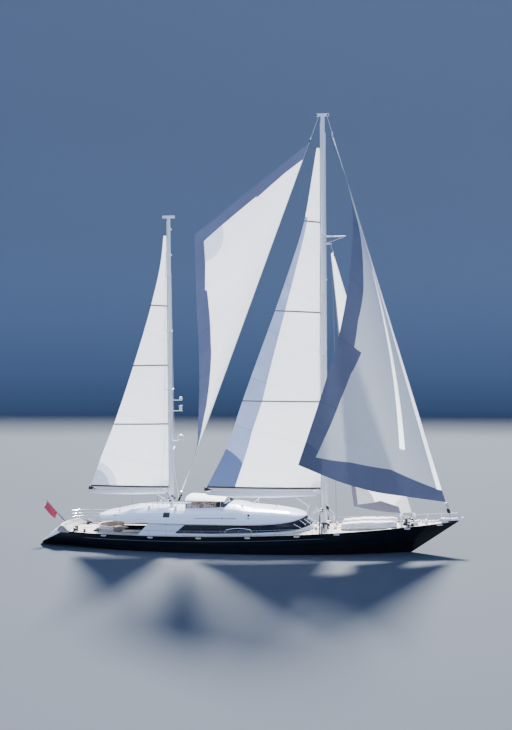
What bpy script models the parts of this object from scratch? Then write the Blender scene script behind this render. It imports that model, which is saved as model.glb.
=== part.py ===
# A two-masted sailing yacht (ketch), built at half its real size.
# Metres, +X to the bow, +Y to port, +Z up; the origin is on the waterline, amidships.
import math

import bmesh
import bpy
import numpy as np
from mathutils.bvhtree import BVHTree
from mathutils import Matrix, Vector

# Gap that touching pieces keep
GAP = 0.0003

# Hull: stern and stem at the waterline, and the slopes of transom and stem
STERN_X = -14.8
STEM_X = 10.25
TRANSOM_FOOT_Z = 0.1
TRANSOM_SLOPE = 1.14
TRANSOM_CROWN = 0.10
STEM_SLOPE = 1.46
FOREFOOT_ROUND = 1.2
# Half width of the deck edge and height of the canoe body's keel, by share of the length
HALF_BEAM = [(0, 1.72), (0.1, 2.25), (0.2, 2.55), (0.35, 2.8), (0.5, 2.87), (0.62, 2.8),
             (0.72, 2.6), (0.8, 2.28), (0.87, 1.82), (0.93, 1.22), (0.97, 0.66), (1, 0.06)]
KEEL_LINE = [(0, 0.08), (0.093, -0.02), (0.211, -0.5), (0.359, -0.98), (0.507, -1.2),
             (0.65, -1.22), (0.8, -1.05), (0.9, -0.78), (1, -0.35)]
# The sheer is a long parabola with its low point near the stern
SHEER_LOW_X = -8.0
SHEER_LOW_Z = 1.04
SHEER_CURVE = 0.00238
BULWARK_HEIGHT = 0.09
BULWARK_WIDTH = 0.07
DECK_CAMBER = 0.17
DECK_MARGIN = 0.012
DECK_THICK = 0.02
DECK_START = 0.05
DECK_END = 0.985
COAMING_TOP = 1.42
COAMING_END = 0.0484
STATIONS = 44
SKIN_POINTS = 9
BED_SHARES = (1.0, 0.6, 0.25, 0.0)

# Wells cut into the deck: the aft cockpit and the floor of the saloon
WELL_FLOOR = 0.74
WELL_AFT_X = -10.85
WELL_HALF = 1.55
WELL_FORE_X = 2.0

# Deckhouse walls: nose, aft wall, half width
WALL_NOSE_X = 3.92
WALL_SHOULDER_X = -1.5
WALL_HALF = 2.22
WALL_THICK = 0.05
NOSE_POWER = 2.6
NOSE_RAKE = 1.4
BULKHEAD_X = -6.2
WING_FORE_X = -6.17
WING_TAIL = [(-7.63, 0.9), (-7.5, 1.05), (-6.71, 1.9)]
WINDOW_SILL = [(-5, 1.2), (-0.7, 1.28), (1.0, 1.38), (2.9, 1.5), (3.5, 1.66), (3.9, 1.8)]
GLASS_BELOW_ROOF = 0.03
GLASS_PROUD = 0.014

# Roof with the flybridge
ROOF_HALF = [(-10.72, 0.35), (-10.5, 1.0), (-10.0, 1.5), (-9.2, 1.85), (-8, 2.12), (-6.5, 2.27),
             (-3, 2.3), (-0.5, 2.27), (0.8, 2.14), (1.9, 1.87), (2.7, 1.5), (3.2, 1.02),
             (3.4, 0.35)]
ROOF_UNDER = [(-10.72, 2.0), (-9.8, 1.87), (-8.6, 1.79), (-6.8, 1.77), (-2.5, 1.78), (0.3, 1.82),
              (1.9, 1.95), (2.9, 2.11), (3.4, 2.26)]
ROOF_TOP = [(-10.72, 2.08), (-10.3, 2.25), (-9.4, 2.42), (-7.7, 2.76), (-6, 2.82), (-4, 2.84),
            (-2.2, 2.95), (-1.4, 3.06), (-0.4, 2.88), (0.9, 2.78), (2.7, 2.56), (3.2, 2.42),
            (3.4, 2.33)]
ROOF_POWER = 4.0
MIZZEN_DECK_Z = 2.6
FLY_FLOOR_Z = 2.42
CEILING_Z = 2.24

# Masts: foot and head positions, radii
MAIN_FOOT = (4.575, 1.86)
MAIN_HEAD = (4.445, 28.7)
MAIN_RADIUS = (0.175, 0.14)
MAIN_SPREADERS = [(8.9, 1.75), (12.8, 1.55), (16.9, 1.3), (20.66, 1.0)]
MIZZEN_FOOT = (-5.745, 2.6)
MIZZEN_HEAD = (-5.985, 22.2)
MIZZEN_RADIUS = (0.145, 0.11)
MIZZEN_SPREADERS = [(6.47, 1.45), (10.5, 1.25), (14.45, 1.05), (18.16, 0.8)]
LUFF_BEHIND_MAST = 0.06
VANG_HALF = 0.1
SHROUD_RADIUS = 0.009
SPREADER_TIP = 0.02
CHAINPLATE_Y = 2.55
MAIN_EASE = 12.2
MIZZEN_EASE = 12.0
MAIN_BOOM_Z = 3.7
MIZZEN_BOOM_Z = 3.66
MAIN_BOOM_LENGTH = 7.6
MIZZEN_BOOM_LENGTH = 5.4
MAIN_BOOM_DEPTHS = (0.37, 0.44, 0.26)
MIZZEN_BOOM_DEPTHS = (0.32, 0.36, 0.22)
SAIL_THICK = 0.012

COLOURS = {
    "hull_black": (0.012, 0.016, 0.022, 0.12, 0.0),
    "white": (0.86, 0.87, 0.89, 0.25, 0.0),
    "teak": (0.55, 0.43, 0.30, 0.7, 0.0),
    "glass": (0.01, 0.015, 0.03, 0.05, 0.0),
    "steel": (0.7, 0.72, 0.74, 0.2, 1.0),
    "antifoul": (0.05, 0.06, 0.09, 0.7, 0.0),
    "sail": (0.85, 0.86, 0.88, 0.8, 0.0),
    "cushion": (0.78, 0.72, 0.62, 0.9, 0.0),
    "dark": (0.03, 0.03, 0.035, 0.5, 0.0),
    "bronze": (0.7, 0.5, 0.25, 0.3, 1.0),
    "red": (0.55, 0.03, 0.04, 0.8, 0.0),
}


def clear_scene():
    for old in list(bpy.data.objects):
        bpy.data.objects.remove(old, do_unlink=True)


def material(name):
    found = bpy.data.materials.get(name)
    if found:
        return found
    red, green, blue, rough, metal = COLOURS[name]
    made = bpy.data.materials.new(name)
    made.use_nodes = True
    shader = made.node_tree.nodes["Principled BSDF"]
    shader.inputs["Base Color"].default_value = (red, green, blue, 1)
    shader.inputs["Roughness"].default_value = rough
    shader.inputs["Metallic"].default_value = metal
    return made


def curve_value(points, at):
    """A smooth curve through the points, as Catmull-Rom pieces with even or uneven steps."""
    xs = np.array([p[0] for p in points], float)
    ys = np.array([p[1] for p in points], float)
    slopes = np.gradient(ys, xs)
    at = np.clip(np.asarray(at, float), xs[0], xs[-1])
    i = np.clip(np.searchsorted(xs, at, side="right") - 1, 0, len(xs) - 2)
    step = xs[i + 1] - xs[i]
    t = (at - xs[i]) / step
    h00 = 2 * t**3 - 3 * t**2 + 1
    h10 = t**3 - 2 * t**2 + t
    h01 = -2 * t**3 + 3 * t**2
    h11 = t**3 - t**2
    return h00 * ys[i] + h10 * step * slopes[i] + h01 * ys[i + 1] + h11 * step * slopes[i + 1]


def add_mesh(name, mesh, finish, origin=(0, 0, 0)):
    mesh.materials.append(material(finish))
    made = bpy.data.objects.new(name, mesh)
    made.location = origin
    bpy.context.scene.collection.objects.link(made)
    return made


def mesh_from(name, points, faces, finish, origin=(0, 0, 0), smooth=True):
    """A closed mesh of points and faces, turned outwards, with its origin where it is asked."""
    mesh = bpy.data.meshes.new(name)
    shifted = np.asarray(points, float) - np.asarray(origin, float)
    mesh.from_pydata(shifted.tolist(), [], faces)
    shape = bmesh.new()
    shape.from_mesh(mesh)
    flat = [f for f in shape.faces if len(f.verts) > 4]
    bmesh.ops.triangulate(shape, faces=flat, ngon_method="EAR_CLIP")
    bmesh.ops.recalc_face_normals(shape, faces=shape.faces)
    if shape.calc_volume(signed=True) < 0:
        bmesh.ops.reverse_faces(shape, faces=shape.faces)
    shape.to_mesh(mesh)
    shape.free()
    if smooth:
        mesh.shade_smooth()
        mesh.set_sharp_from_angle(angle=math.radians(35))
    return add_mesh(name, mesh, finish, origin)


def loft_faces(rings, points, closed_around=True, caps=True, closed_along=False):
    """Triangles between neighbouring rings, all split along the same diagonal, and end caps."""
    faces = []
    last_ring = rings if closed_along else rings - 1
    last_point = points if closed_around else points - 1
    for i in range(last_ring):
        for j in range(last_point):
            a = i * points + j
            b = i * points + (j + 1) % points
            c = ((i + 1) % rings) * points + (j + 1) % points
            d = ((i + 1) % rings) * points + j
            faces.append((a, b, c))
            faces.append((a, c, d))
    if caps:
        faces.append(tuple(range(points)))
        faces.append(tuple((rings - 1) * points + j for j in range(points)))
    return faces


def loft(name, rings, finish, origin=(0, 0, 0), smooth=True, closed_along=False):
    """A solid through a list of closed rings that all have the same number of points."""
    rings = np.asarray(rings, float)
    count, points = rings.shape[:2]
    faces = loft_faces(count, points, caps=not closed_along, closed_along=closed_along)
    return mesh_from(name, rings.reshape(-1, 3), faces, finish, origin, smooth)


def block(name, low, high, finish, origin=(0, 0, 0)):
    low = np.asarray(low, float)
    high = np.asarray(high, float)
    rings = []
    for x in (low[0], high[0]):
        rings.append([(x, low[1], low[2]), (x, high[1], low[2]),
                      (x, high[1], high[2]), (x, low[1], high[2])])
    return loft(name, rings, finish, origin, smooth=False)


def frame_of(direction):
    direction = np.asarray(direction, float)
    direction = direction / np.linalg.norm(direction)
    helper = np.array([0, 0, 1.0]) if abs(direction[2]) < 0.9 else np.array([1.0, 0, 0])
    side = np.cross(helper, direction)
    side /= np.linalg.norm(side)
    return side, np.cross(direction, side)


def bar(name, start, end, radius, finish, end_radius=None, sides=12, squash=1.0, origin=(0, 0, 0),
        facing=None):
    """A straight round or oval bar, tapered when an end radius is given, its ends square to facing."""
    start = np.asarray(start, float)
    end = np.asarray(end, float)
    side, up = frame_of(end - start if facing is None else facing)
    angles = np.arange(sides) * 2 * math.pi / sides
    rings = []
    for centre, r in ((start, radius), (end, radius if end_radius is None else end_radius)):
        rings.append(centre + r * (np.cos(angles)[:, None] * side
                                   + squash * np.sin(angles)[:, None] * up))
    return loft(name, rings, finish, origin)


def tube(name, path, radius, finish, resolution=1, origin=(0, 0, 0)):
    """A wire or rail: a poly curve with a round bevel and filled ends."""
    curve = bpy.data.curves.new(name, "CURVE")
    curve.dimensions = "3D"
    curve.bevel_depth = radius
    curve.bevel_resolution = resolution
    curve.use_fill_caps = True
    spline = curve.splines.new("POLY")
    spline.points.add(len(path) - 1)
    for point, place in zip(spline.points, path):
        shifted = np.asarray(place, float) - np.asarray(origin, float)
        point.co = (*shifted, 1)
    curve.materials.append(material(finish))
    made = bpy.data.objects.new(name, curve)
    made.location = origin
    bpy.context.scene.collection.objects.link(made)
    return made


def boolean(target, tool, operation="DIFFERENCE"):
    """Cuts or joins with another solid, which then stays only as a guide."""
    tool.hide_render = True
    tool.display_type = "WIRE"
    step = target.modifiers.new(tool.name, "BOOLEAN")
    step.object = tool
    step.operation = operation
    step.solver = "EXACT"
    return target


def height_under(solid, x, y):
    """Height of a solid's upper surface at a place, read from its faces."""
    corners = [tuple(v.co) for v in solid.data.vertices]
    faces = [tuple(f.vertices) for f in solid.data.polygons]
    hit = BVHTree.FromPolygons(corners, faces).ray_cast(Vector((x, y, 50)), Vector((0, 0, -1)))
    return hit[0].z


def unite(target, tools):
    for tool in tools:
        boolean(target, tool, "UNION")
    return target


def turned(points, origin, axis, degrees):
    """Points turned about an axis through the origin point."""
    axis = np.asarray(axis, float)
    axis = axis / np.linalg.norm(axis)
    rel = np.asarray(points, float) - origin
    angle = math.radians(degrees)
    along = (rel @ axis)[..., None] * axis
    across = rel - along
    turned_part = across * math.cos(angle) + np.cross(axis, across) * math.sin(angle)
    return np.asarray(origin) + along + turned_part


def sheer_z(x):
    return SHEER_LOW_Z + SHEER_CURVE * (x - SHEER_LOW_X) ** 2


def hull_x(u, y, z):
    """Length place of a hull point: the stern leans with the transom, the bow with the stem."""
    aft = (1 - u) ** 3
    fore = u**3
    straight = STERN_X + (STEM_X - STERN_X) * u
    transom = TRANSOM_SLOPE * (z - TRANSOM_FOOT_Z) + TRANSOM_CROWN * y**2
    stem = STEM_SLOPE * z - FOREFOOT_ROUND * np.minimum(z, 0) ** 2
    return straight + aft * transom + fore * stem


def edge_height(u):
    """Top of the hull skin under the bulwark, found by three passes because x and z depend."""
    half = curve_value(HALF_BEAM, u)
    z = np.full_like(np.asarray(u, float), 1.3)
    for _ in range(4):
        z = sheer_z(hull_x(u, half, z)) - BULWARK_HEIGHT
    return z


def bed_half(u):
    return np.maximum(curve_value(HALF_BEAM, u) - BULWARK_WIDTH - DECK_MARGIN, 0.008)


def bed_height(u, share):
    """Height of the hull's top under the deck, at a share of the half width."""
    camber = DECK_CAMBER * bed_half(u) / 2.8
    return edge_height(u) + camber * (1 - np.asarray(share) ** 2)


def skin_ring(u):
    """One closed section of the hull: skin to starboard, deck bed across, skin to port."""
    half = float(curve_value(HALF_BEAM, u))
    keel = float(curve_value(KEEL_LINE, u))
    top = float(edge_height(np.array([u]))[0])
    fullness = 2.7 - 1.1 * u**3
    root = 2.3 - 0.95 * u**3
    rise = 1 - np.cos(np.linspace(0, 1, SKIN_POINTS) * math.pi / 2)
    z = keel + (top - keel) * rise
    y = half * (1 - (1 - rise) ** fullness) ** (1 / root)
    y[0] = 0.0
    skin = [(float(hull_x(u, b, c)), -b, c) for b, c in zip(y, z)]
    bed = []
    wide = float(bed_half(np.array([u]))[0])
    for share in BED_SHARES:
        height = float(bed_height(np.array([u]), share)[0])
        bed.append((float(hull_x(u, wide * share, height)), -wide * share, height))
    ring = skin + bed
    port = [(a, -b, c) for a, b, c in ring[1:-1]]
    return ring + port[::-1]


def station_shares():
    even = np.linspace(0, 1, STATIONS)
    shares = sorted(set(np.round(np.concatenate([even, [DECK_START, DECK_END]]), 5)))
    return np.array(shares)


def hull():
    rings = [skin_ring(u) for u in station_shares()]
    # The transom is closed by sections that narrow to the centre line and bulge aft
    stern = np.array(rings[0])
    extra = []
    for share in (0.05, 0.35, 0.7):
        ring = stern.copy()
        ring[:, 1] *= share
        ring[:, 0] = hull_x(0.0, ring[:, 1], ring[:, 2])
        extra.append(ring.tolist())
    return loft("hull", extra + rings, "hull_black")


def deck_solid(name, low, high):
    """The deck plate between two shares of the length, from low to high above its bed."""
    rings = []
    for u in station_shares():
        if u < DECK_START or u > DECK_END:
            continue
        wide = float(bed_half(np.array([u]))[0])
        rows = []
        for lift in (low, high):
            row = []
            for share in BED_SHARES:
                height = float(bed_height(np.array([u]), share)[0])
                x = float(hull_x(u, wide * share, height))
                row.append((x, -wide * share, height + lift))
            row += [(a, -b, c) for a, b, c in row[-2::-1]]
            rows.append(row)
        rings.append(rows[0] + rows[1][::-1])
    return loft(name, rings, "teak")


def bulwark(side):
    rings = []
    for u in station_shares():
        if u < DECK_START:
            continue
        half = float(curve_value(HALF_BEAM, u))
        z = float(edge_height(np.array([u]))[0])
        inner = max(half - BULWARK_WIDTH, 0.003)
        outer = max(half, inner + 0.02)
        low = z + GAP * 2
        high = z + BULWARK_HEIGHT
        ring = []
        for y, height in ((outer, low), (outer + 0.01, high), (inner, high), (inner, low)):
            x = float(hull_x(u, min(y, half), low if u == DECK_START else height))
            ring.append((x, side * y, height))
        rings.append(ring)
    name = "bulwark_port" if side > 0 else "bulwark_starboard"
    return loft(name, rings, "hull_black", smooth=False)


def transom_coaming():
    """The white coaming across the stern, high at the transom and falling to the bulwarks."""
    rings = []
    for u, top in ((0.0, COAMING_TOP), (0.012, COAMING_TOP - 0.01), (0.026, COAMING_TOP - 0.14),
                   (COAMING_END, COAMING_TOP - 0.29)):
        half = float(curve_value(HALF_BEAM, u))
        low_row = []
        high_row = []
        for share in (1.0, 0.8, 0.5, 0.2, 0.0, -0.2, -0.5, -0.8, -1.0):
            y = half * share
            z = float(edge_height(np.array([u]))[0])
            camber = DECK_CAMBER * float(bed_half(np.array([u]))[0]) / 2.8
            low_z = z + camber * (1 - share**2) + 0.006
            x = float(hull_x(u, y, low_z))
            low_row.append((x, -y, low_z))
            high_x = x if u == COAMING_END else float(hull_x(u, y, top))
            high_row.append((high_x, -y, top))
        rings.append(low_row + high_row[::-1])
    return loft("transom_coaming", rings, "white")


def wall_outline(z, inset, points_nose=14):
    """Plan of the deckhouse at one height: starboard aft corner, round the nose, port corner."""
    nose = WALL_NOSE_X - NOSE_RAKE * max(z - 1.8, 0) - inset * 1.2
    half = WALL_HALF - 0.08 * (z - 1.2) - inset
    angles = np.linspace(0, math.pi / 2, points_nose)
    power = 2 / NOSE_POWER
    x = WALL_SHOULDER_X + (nose - WALL_SHOULDER_X) * np.cos(angles) ** power
    y = half * np.sin(angles) ** power
    x = np.append(x, [-3.2, -5.0, BULKHEAD_X + inset])
    y = np.append(y, [half, half, half])
    starboard = [(a, -b, z) for a, b in zip(x[::-1], y[::-1])]
    port = [(a, b, z) for a, b in zip(x[1:], y[1:])]
    return starboard + port


def wall_shell(name, low, outer, inner, finish, backwards=False):
    """A ring wall between two insets, from low up into the roof's underside.

    Carried round backwards, its inner faces are split as another wall's outer faces are.
    """
    columns = []
    for inset in (outer, inner):
        levels = [np.array(wall_outline(z, inset)) for z in (low, 1.3, 1.7)]
        top = levels[2].copy()
        for _ in range(3):
            top[:, 2] = curve_value(ROOF_UNDER, top[:, 0]) + 0.02
            top[:, 0] = np.where(top[:, 0] > WALL_SHOULDER_X,
                                 levels[2][:, 0] - NOSE_RAKE * np.maximum(top[:, 2] - 1.8, 0)
                                 * (levels[2][:, 0] - WALL_SHOULDER_X)
                                 / (WALL_NOSE_X - WALL_SHOULDER_X), levels[2][:, 0])
        columns.append(levels + [top])
    outside, inside = columns
    rings = []
    for i in range(len(outside[0])):
        rings.append([outside[k][i] for k in range(4)] + [inside[k][i] for k in (3, 2, 1, 0)])
    if backwards:
        rings.reverse()
    return loft(name, rings, finish, closed_along=True)


def window_cutter(name, aft_low, aft_high, fore_low, fore_high):
    """A slab through both sides between four corners, seen from the side."""
    low = [(aft_low[0], aft_low[1]), (fore_low[0], fore_low[1]),
           (fore_high[0], fore_high[1]), (aft_high[0], aft_high[1])]
    rings = [[(x, y, z) for x, z in low] for y in (-3.0, 3.0)]
    return loft(name, rings, "glass", smooth=False)


def wing_wall(side):
    """The side wall's tail, which runs on aft of the bulkhead and slopes forward as it rises."""
    rings = []
    for aft, z in WING_TAIL:
        outer = WALL_HALF - 0.08 * (z - 1.2)
        inner = outer - WALL_THICK
        rings.append([(aft, side * outer, z), (WING_FORE_X, side * outer, z),
                      (WING_FORE_X, side * inner, z), (aft, side * inner, z)])
    word = "port" if side > 0 else "starboard"
    return loft("wing_wall_tool_" + word, rings, "white", smooth=False)


def deckhouse(deck_cutter, roof_cutter):
    walls = wall_shell("deckhouse_walls", WELL_FLOOR + GAP, 0.0, WALL_THICK, "white")
    unite(walls, [wing_wall(side) for side in (-1, 1)])
    boolean(walls, deck_cutter)
    boolean(walls, roof_cutter)
    sides = window_cutter("window_side_cutter", (-4.95, 1.26), (-4.4, 1.66), (2.75, 1.56), (2.35, 1.86))
    boolean(walls, sides)
    front = window_cutter("window_front_cutter", (3.05, 1.68), (2.75, 1.98), (4.4, 1.86), (4.4, 2.1))
    boolean(walls, front)
    door = block("doorway_cutter", (BULKHEAD_X - 0.5, -0.45, WELL_FLOOR + 0.05),
                 (BULKHEAD_X + 0.5, 0.45, 1.72), "glass")
    boolean(walls, door)
    return walls


def glass_pane(name, corners, near_y, far_y):
    """A bent pane lying on the outside of the wall, cut from a thin shell by a slab."""
    shell = wall_shell(name, WELL_FLOOR, -GLASS_PROUD, -GAP * 2, "glass", backwards=True)
    rings = [[(x, y, z) for x, z in corners] for y in (near_y, far_y)]
    return boolean(shell, loft("slab_tool_" + name, rings, "glass", smooth=False), "INTERSECT")


def window_corners(sill_stops, head_stops):
    """Side view of a window band: along the sill, then back under the roof's edge."""
    low = [(x, float(curve_value(WINDOW_SILL, x))) for x in sill_stops]
    high = [(x, float(curve_value(ROOF_UNDER, x)) - GLASS_BELOW_ROOF) for x in head_stops]
    return low + high


def roof_ring(x, grow=0.0):
    half = float(curve_value(ROOF_HALF, x)) + grow
    under = float(curve_value(ROOF_UNDER, x)) - grow
    top = float(curve_value(ROOF_TOP, x)) + grow
    angles = np.linspace(0, math.pi, 15)
    power = 2 / ROOF_POWER
    side = np.sign(np.cos(angles)) * np.abs(np.cos(angles)) ** power
    rise = np.abs(np.sin(angles)) ** (2 / 2.0)
    ring = [(x, half * s, under + 0.05 + (top - under - 0.05) * r) for s, r in zip(side, rise)]
    ring += [(x, -half * 0.97, under), (x, 0.0, under), (x, half * 0.97, under)]
    return ring


def roof_solid(name, drop=0.0):
    stations = np.concatenate([[-10.72, -10.6, -10.4], np.linspace(-10.1, 2.9, 27),
                               [3.15, 3.3, 3.4]])
    rings = []
    for x in stations:
        rings.append([(a, b, c - drop) for a, b, c in roof_ring(float(x))])
    return loft(name, rings, "white")


def roof():
    made = roof_solid("deckhouse_roof")
    vault = block("ceiling_cutter", (-9.3, -1.72, 1.2), (1.2, 1.72, CEILING_Z), "white")
    boolean(made, vault)
    fly = block("flybridge_cutter", (-4.75, -1.5, FLY_FLOOR_Z), (-1.75, 1.5, 3.6), "white")
    boolean(made, fly)
    aft = block("mizzen_deck_cutter", (-8.1, -1.45, MIZZEN_DECK_Z), (-4.7, 1.45, 3.6), "white")
    boolean(made, aft)
    return made


def foil_rings(chord_root, chord_tip, x_root, x_tip, z_root, z_tip, thick, steps=2):
    """Sections of a fin or blade from root to tip, with a rounded nose and thin tail."""
    shape = []
    for a in np.linspace(0, 2 * math.pi, 14, endpoint=False):
        along = 0.5 + 0.5 * math.cos(a)
        width = math.sin(a) * math.sqrt(max(along, 0)) * 1.1 * 0.5
        shape.append((along, width + (0.02 if abs(width) < 1e-6 else 0)))
    rings = []
    for t in np.linspace(0, 1, steps):
        chord = chord_root + (chord_tip - chord_root) * t
        x_aft = x_root + (x_tip - x_root) * t
        z = z_root + (z_tip - z_root) * t
        rings.append([(x_aft + a * chord, w * thick * chord, z) for a, w in shape])
    return rings


def keel(hull_cutter):
    made = loft("keel", foil_rings(5.2, 3.6, -2.6, -2.0, -0.9, -2.35, 0.12), "antifoul")
    bulb_rings = []
    for t in np.linspace(0, 1, 11):
        r = 0.3 * math.sin(math.pi * (0.04 + 0.92 * t)) ** 0.6
        x = -2.35 + 4.3 * t
        angles = np.arange(12) * 2 * math.pi / 12
        bulb_rings.append([(x, 1.25 * r * math.cos(a), -2.4 + 0.85 * r * math.sin(a)) for a in angles])
    bulb = loft("bulb_tool", bulb_rings, "antifoul")
    unite(made, [bulb])
    boolean(made, hull_cutter)
    return made


RUDDER_X = -9.6
RUDDER_TOP_Z = -0.62


def rudder(hull_cutter):
    bearing = bar("rudder_bearing", (RUDDER_X, 0, 0.1), (RUDDER_X, 0, RUDDER_TOP_Z + GAP), 0.15,
                  "antifoul")
    boolean(bearing, hull_cutter)
    pivot = (RUDDER_X, 0, RUDDER_TOP_Z)
    blade = loft("rudder", foil_rings(1.35, 0.85, RUDDER_X - 0.95, RUDDER_X - 0.62,
                                      RUDDER_TOP_Z - 0.22, -2.15, 0.11), "antifoul", origin=pivot)
    stock = bar("rudder_stock_tool", (RUDDER_X, 0, RUDDER_TOP_Z), (RUDDER_X, 0, -1.2), 0.07,
                "steel")
    unite(blade, [stock])
    return blade


SHAFT_HEAD = (-5.2, 0.8, -0.75)
SHAFT_TAIL = (-8.1, 0.8, -1.08)


def mizzen_antennas():
    """Brackets and domes ahead of the mizzen mast, and the pedestal of the radar scanner."""
    tools = []
    for z, reach, half in ((7.04, -4.98, 0.13), (9.06, -5.02, 0.09), (9.78, -5.04, 0.08)):
        tools.append(block("bracket_tool_%d" % (z * 100), (-5.84, -half, z), (reach, half, z + 0.04),
                           "white"))
    for z, r in ((7.28, 0.23), (9.93, 0.12)):
        rings = []
        for t in np.linspace(0.04, 0.96, 9):
            wide = r * math.sin(math.pi * t)
            rings.append([(-5.14 + wide * math.cos(a), wide * math.sin(a), z - r * math.cos(math.pi * t))
                          for a in np.arange(14) * 2 * math.pi / 14])
        tools.append(loft("dome_tool_%d" % (z * 100), rings, "white"))
    tools.append(bar("pedestal_tool", (RADAR_AT[0], 0, 9.08), (RADAR_AT[0], 0, RADAR_AT[2]), 0.1,
                     "white"))
    return tools


RADAR_AT = (-5.14, 0.0, 9.33)


def radar_scanner():
    arm = block("radar_scanner", (RADAR_AT[0] - 0.045, -0.37, RADAR_AT[2] + 0.04),
                (RADAR_AT[0] + 0.045, 0.37, RADAR_AT[2] + 0.13), "white", origin=RADAR_AT)
    hub = bar("scanner_hub_tool", (RADAR_AT[0], 0, RADAR_AT[2] + GAP),
              (RADAR_AT[0], 0, RADAR_AT[2] + 0.08), 0.06, "white")
    return unite(arm, [hub])


def running_gear(side, hull_cutter):
    word = "port" if side > 0 else "starboard"
    head = np.array([SHAFT_HEAD[0], side * SHAFT_HEAD[1], SHAFT_HEAD[2]])
    tail = np.array([SHAFT_TAIL[0], side * SHAFT_TAIL[1], SHAFT_TAIL[2]])
    along = (tail - head) / np.linalg.norm(tail - head)
    shaft = bar("propeller_shaft_" + word, head - along * 0.8, tail, 0.045, "steel")
    hanger = tail - along * 0.16
    barrel = bar("strut_barrel_tool_" + word, hanger - along * 0.14, hanger + along * 0.1, 0.075,
                 "steel")
    strut = bar("strut_arm_tool_" + word, hanger, hanger + np.array([0.1, 0, 0.9]), 0.09, "steel",
                squash=0.3)
    unite(shaft, [barrel, strut])
    boolean(shaft, hull_cutter)
    hub_start = tail + along * GAP
    hub_end = tail + along * 0.24
    hub = bar("propeller_" + word, hub_start, hub_end, 0.08, "bronze", end_radius=0.05,
              origin=tuple(tail))
    blades = []
    side_axis, up_axis = frame_of(along)
    for k in range(4):
        angle = k * math.pi / 2 + 0.3
        out = math.cos(angle) * side_axis + math.sin(angle) * up_axis
        across = np.cross(along, out)
        pitch = 0.55
        rings = []
        for t, width in ((0.05, 0.1), (0.18, 0.2), (0.3, 0.24), (0.385, 0.12)):
            twist = pitch * (1 - 0.6 * t / 0.385)
            chord = math.cos(twist) * across + math.sin(twist) * along
            normal = np.cross(out, chord)
            centre = tail + along * 0.12 + out * t
            rings.append([centre + chord * width * 0.5, centre + normal * 0.012,
                          centre - chord * width * 0.5, centre - normal * 0.012])
        blades.append(loft("blade_tool_%s_%d" % (word, k), rings, "bronze", smooth=False))
    unite(hub, blades)
    return hub


RAIL_HEIGHT = 0.36
RAIL_RADIUS = 0.013
RAIL_STEP = 1.13
RAIL_ENDS = (-11.4, 10.0)
PULPIT_START = 10.4


def edge_point(x, side):
    """The middle of the bulwark's top at one place of the length."""
    shares = np.linspace(DECK_START, 1, 300)
    half = curve_value(HALF_BEAM, shares)
    places = hull_x(shares, half, edge_height(shares) + BULWARK_HEIGHT)
    y = float(np.interp(x, places, half)) - BULWARK_WIDTH * 0.5
    return x, side * max(y, 0.01)


def joined(name, pieces, finish):
    """Several closed solids that don't touch, as one mesh to be united with another."""
    points = []
    faces = []
    for rings in pieces:
        rings = np.asarray(rings, float)
        start = len(points)
        count, around = rings.shape[:2]
        faces += [tuple(start + k for k in face) for face in loft_faces(count, around)]
        points += rings.reshape(-1, 3).tolist()
    return mesh_from(name, points, faces, finish, smooth=False)


def bar_rings(start, end, radius, sides=6, end_radius=None):
    start = np.asarray(start, float)
    end = np.asarray(end, float)
    side, up = frame_of(end - start)
    angles = np.arange(sides) * 2 * math.pi / sides
    circle = np.cos(angles)[:, None] * side + np.sin(angles)[:, None] * up
    return [start + radius * circle, end + (end_radius or radius) * circle]


def path_rings(path, radius, sides=6):
    """Sections along a bent rail, each in the plane that halves its bend."""
    path = np.asarray(path, float)
    steps = np.diff(path, axis=0)
    steps /= np.linalg.norm(steps, axis=1, keepdims=True)
    ways = np.concatenate([steps[:1], steps[:-1] + steps[1:], steps[-1:]])
    angles = np.arange(sides) * 2 * math.pi / sides
    rings = []
    for place, way in zip(path, ways):
        side, up = frame_of(way)
        rings.append(place + radius * (np.cos(angles)[:, None] * side
                                       + np.sin(angles)[:, None] * up))
    return rings


def rail(name, places, feet, rail_z, legs):
    """A bent top rail on upright legs that stand on what is under them."""
    top = [(x, y, rail_z(x)) for x, y in places]
    made = loft(name, path_rings(top, RAIL_RADIUS), "steel")
    pieces = []
    for (x, y), foot in zip(legs, feet):
        pieces.append(bar_rings((x, y, foot + 4 * GAP), (x, y, rail_z(x)), RAIL_RADIUS * 0.9))
    return unite(made, [joined("legs_tool_" + name, pieces, "steel")])


def guardrail(side, bulwarks):
    word = "port" if side > 0 else "starboard"
    count = int((RAIL_ENDS[1] - RAIL_ENDS[0]) / RAIL_STEP) + 1
    places = [edge_point(x, side) for x in np.linspace(RAIL_ENDS[0], RAIL_ENDS[1], count)]
    feet = [height_under(bulwarks, x, y) for x, y in places]
    ends = [(places[0][0] - 0.03, places[0][1])] + places[1:-1]
    ends.append((places[-1][0] + 0.03, places[-1][1]))
    # The rail passes inside the main shroud
    inside = (4.3, edge_point(4.3, side)[1] - side * 0.07)
    ends = sorted(ends + [inside])
    return rail("guardrail_" + word, ends, feet, lambda x: sheer_z(x) + RAIL_HEIGHT, places)


def pulpit(rails):
    """The rail round the bow, open over the platform at the stem."""
    legs = []
    feet = []
    for side in (-1, 1):
        for x in (PULPIT_START, 11.3, 12.2):
            legs.append(edge_point(x, side))
            feet.append(height_under(rails[side], *legs[-1]))
    shape = [(PULPIT_START - 0.03, 1.0), (11.3, 1.0), (12.2, 1.0), (12.9, 0.9), (13.2, 1.0)]
    starboard = []
    for x, wide in shape:
        starboard.append((x, edge_point(min(x, 13.0), -1)[1] * wide))
    port = [(x, -y) for x, y in starboard]
    return rail("pulpit", starboard + port[::-1], feet, lambda x: 2.24 + 0.13 * (x - 10.4), legs)


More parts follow.
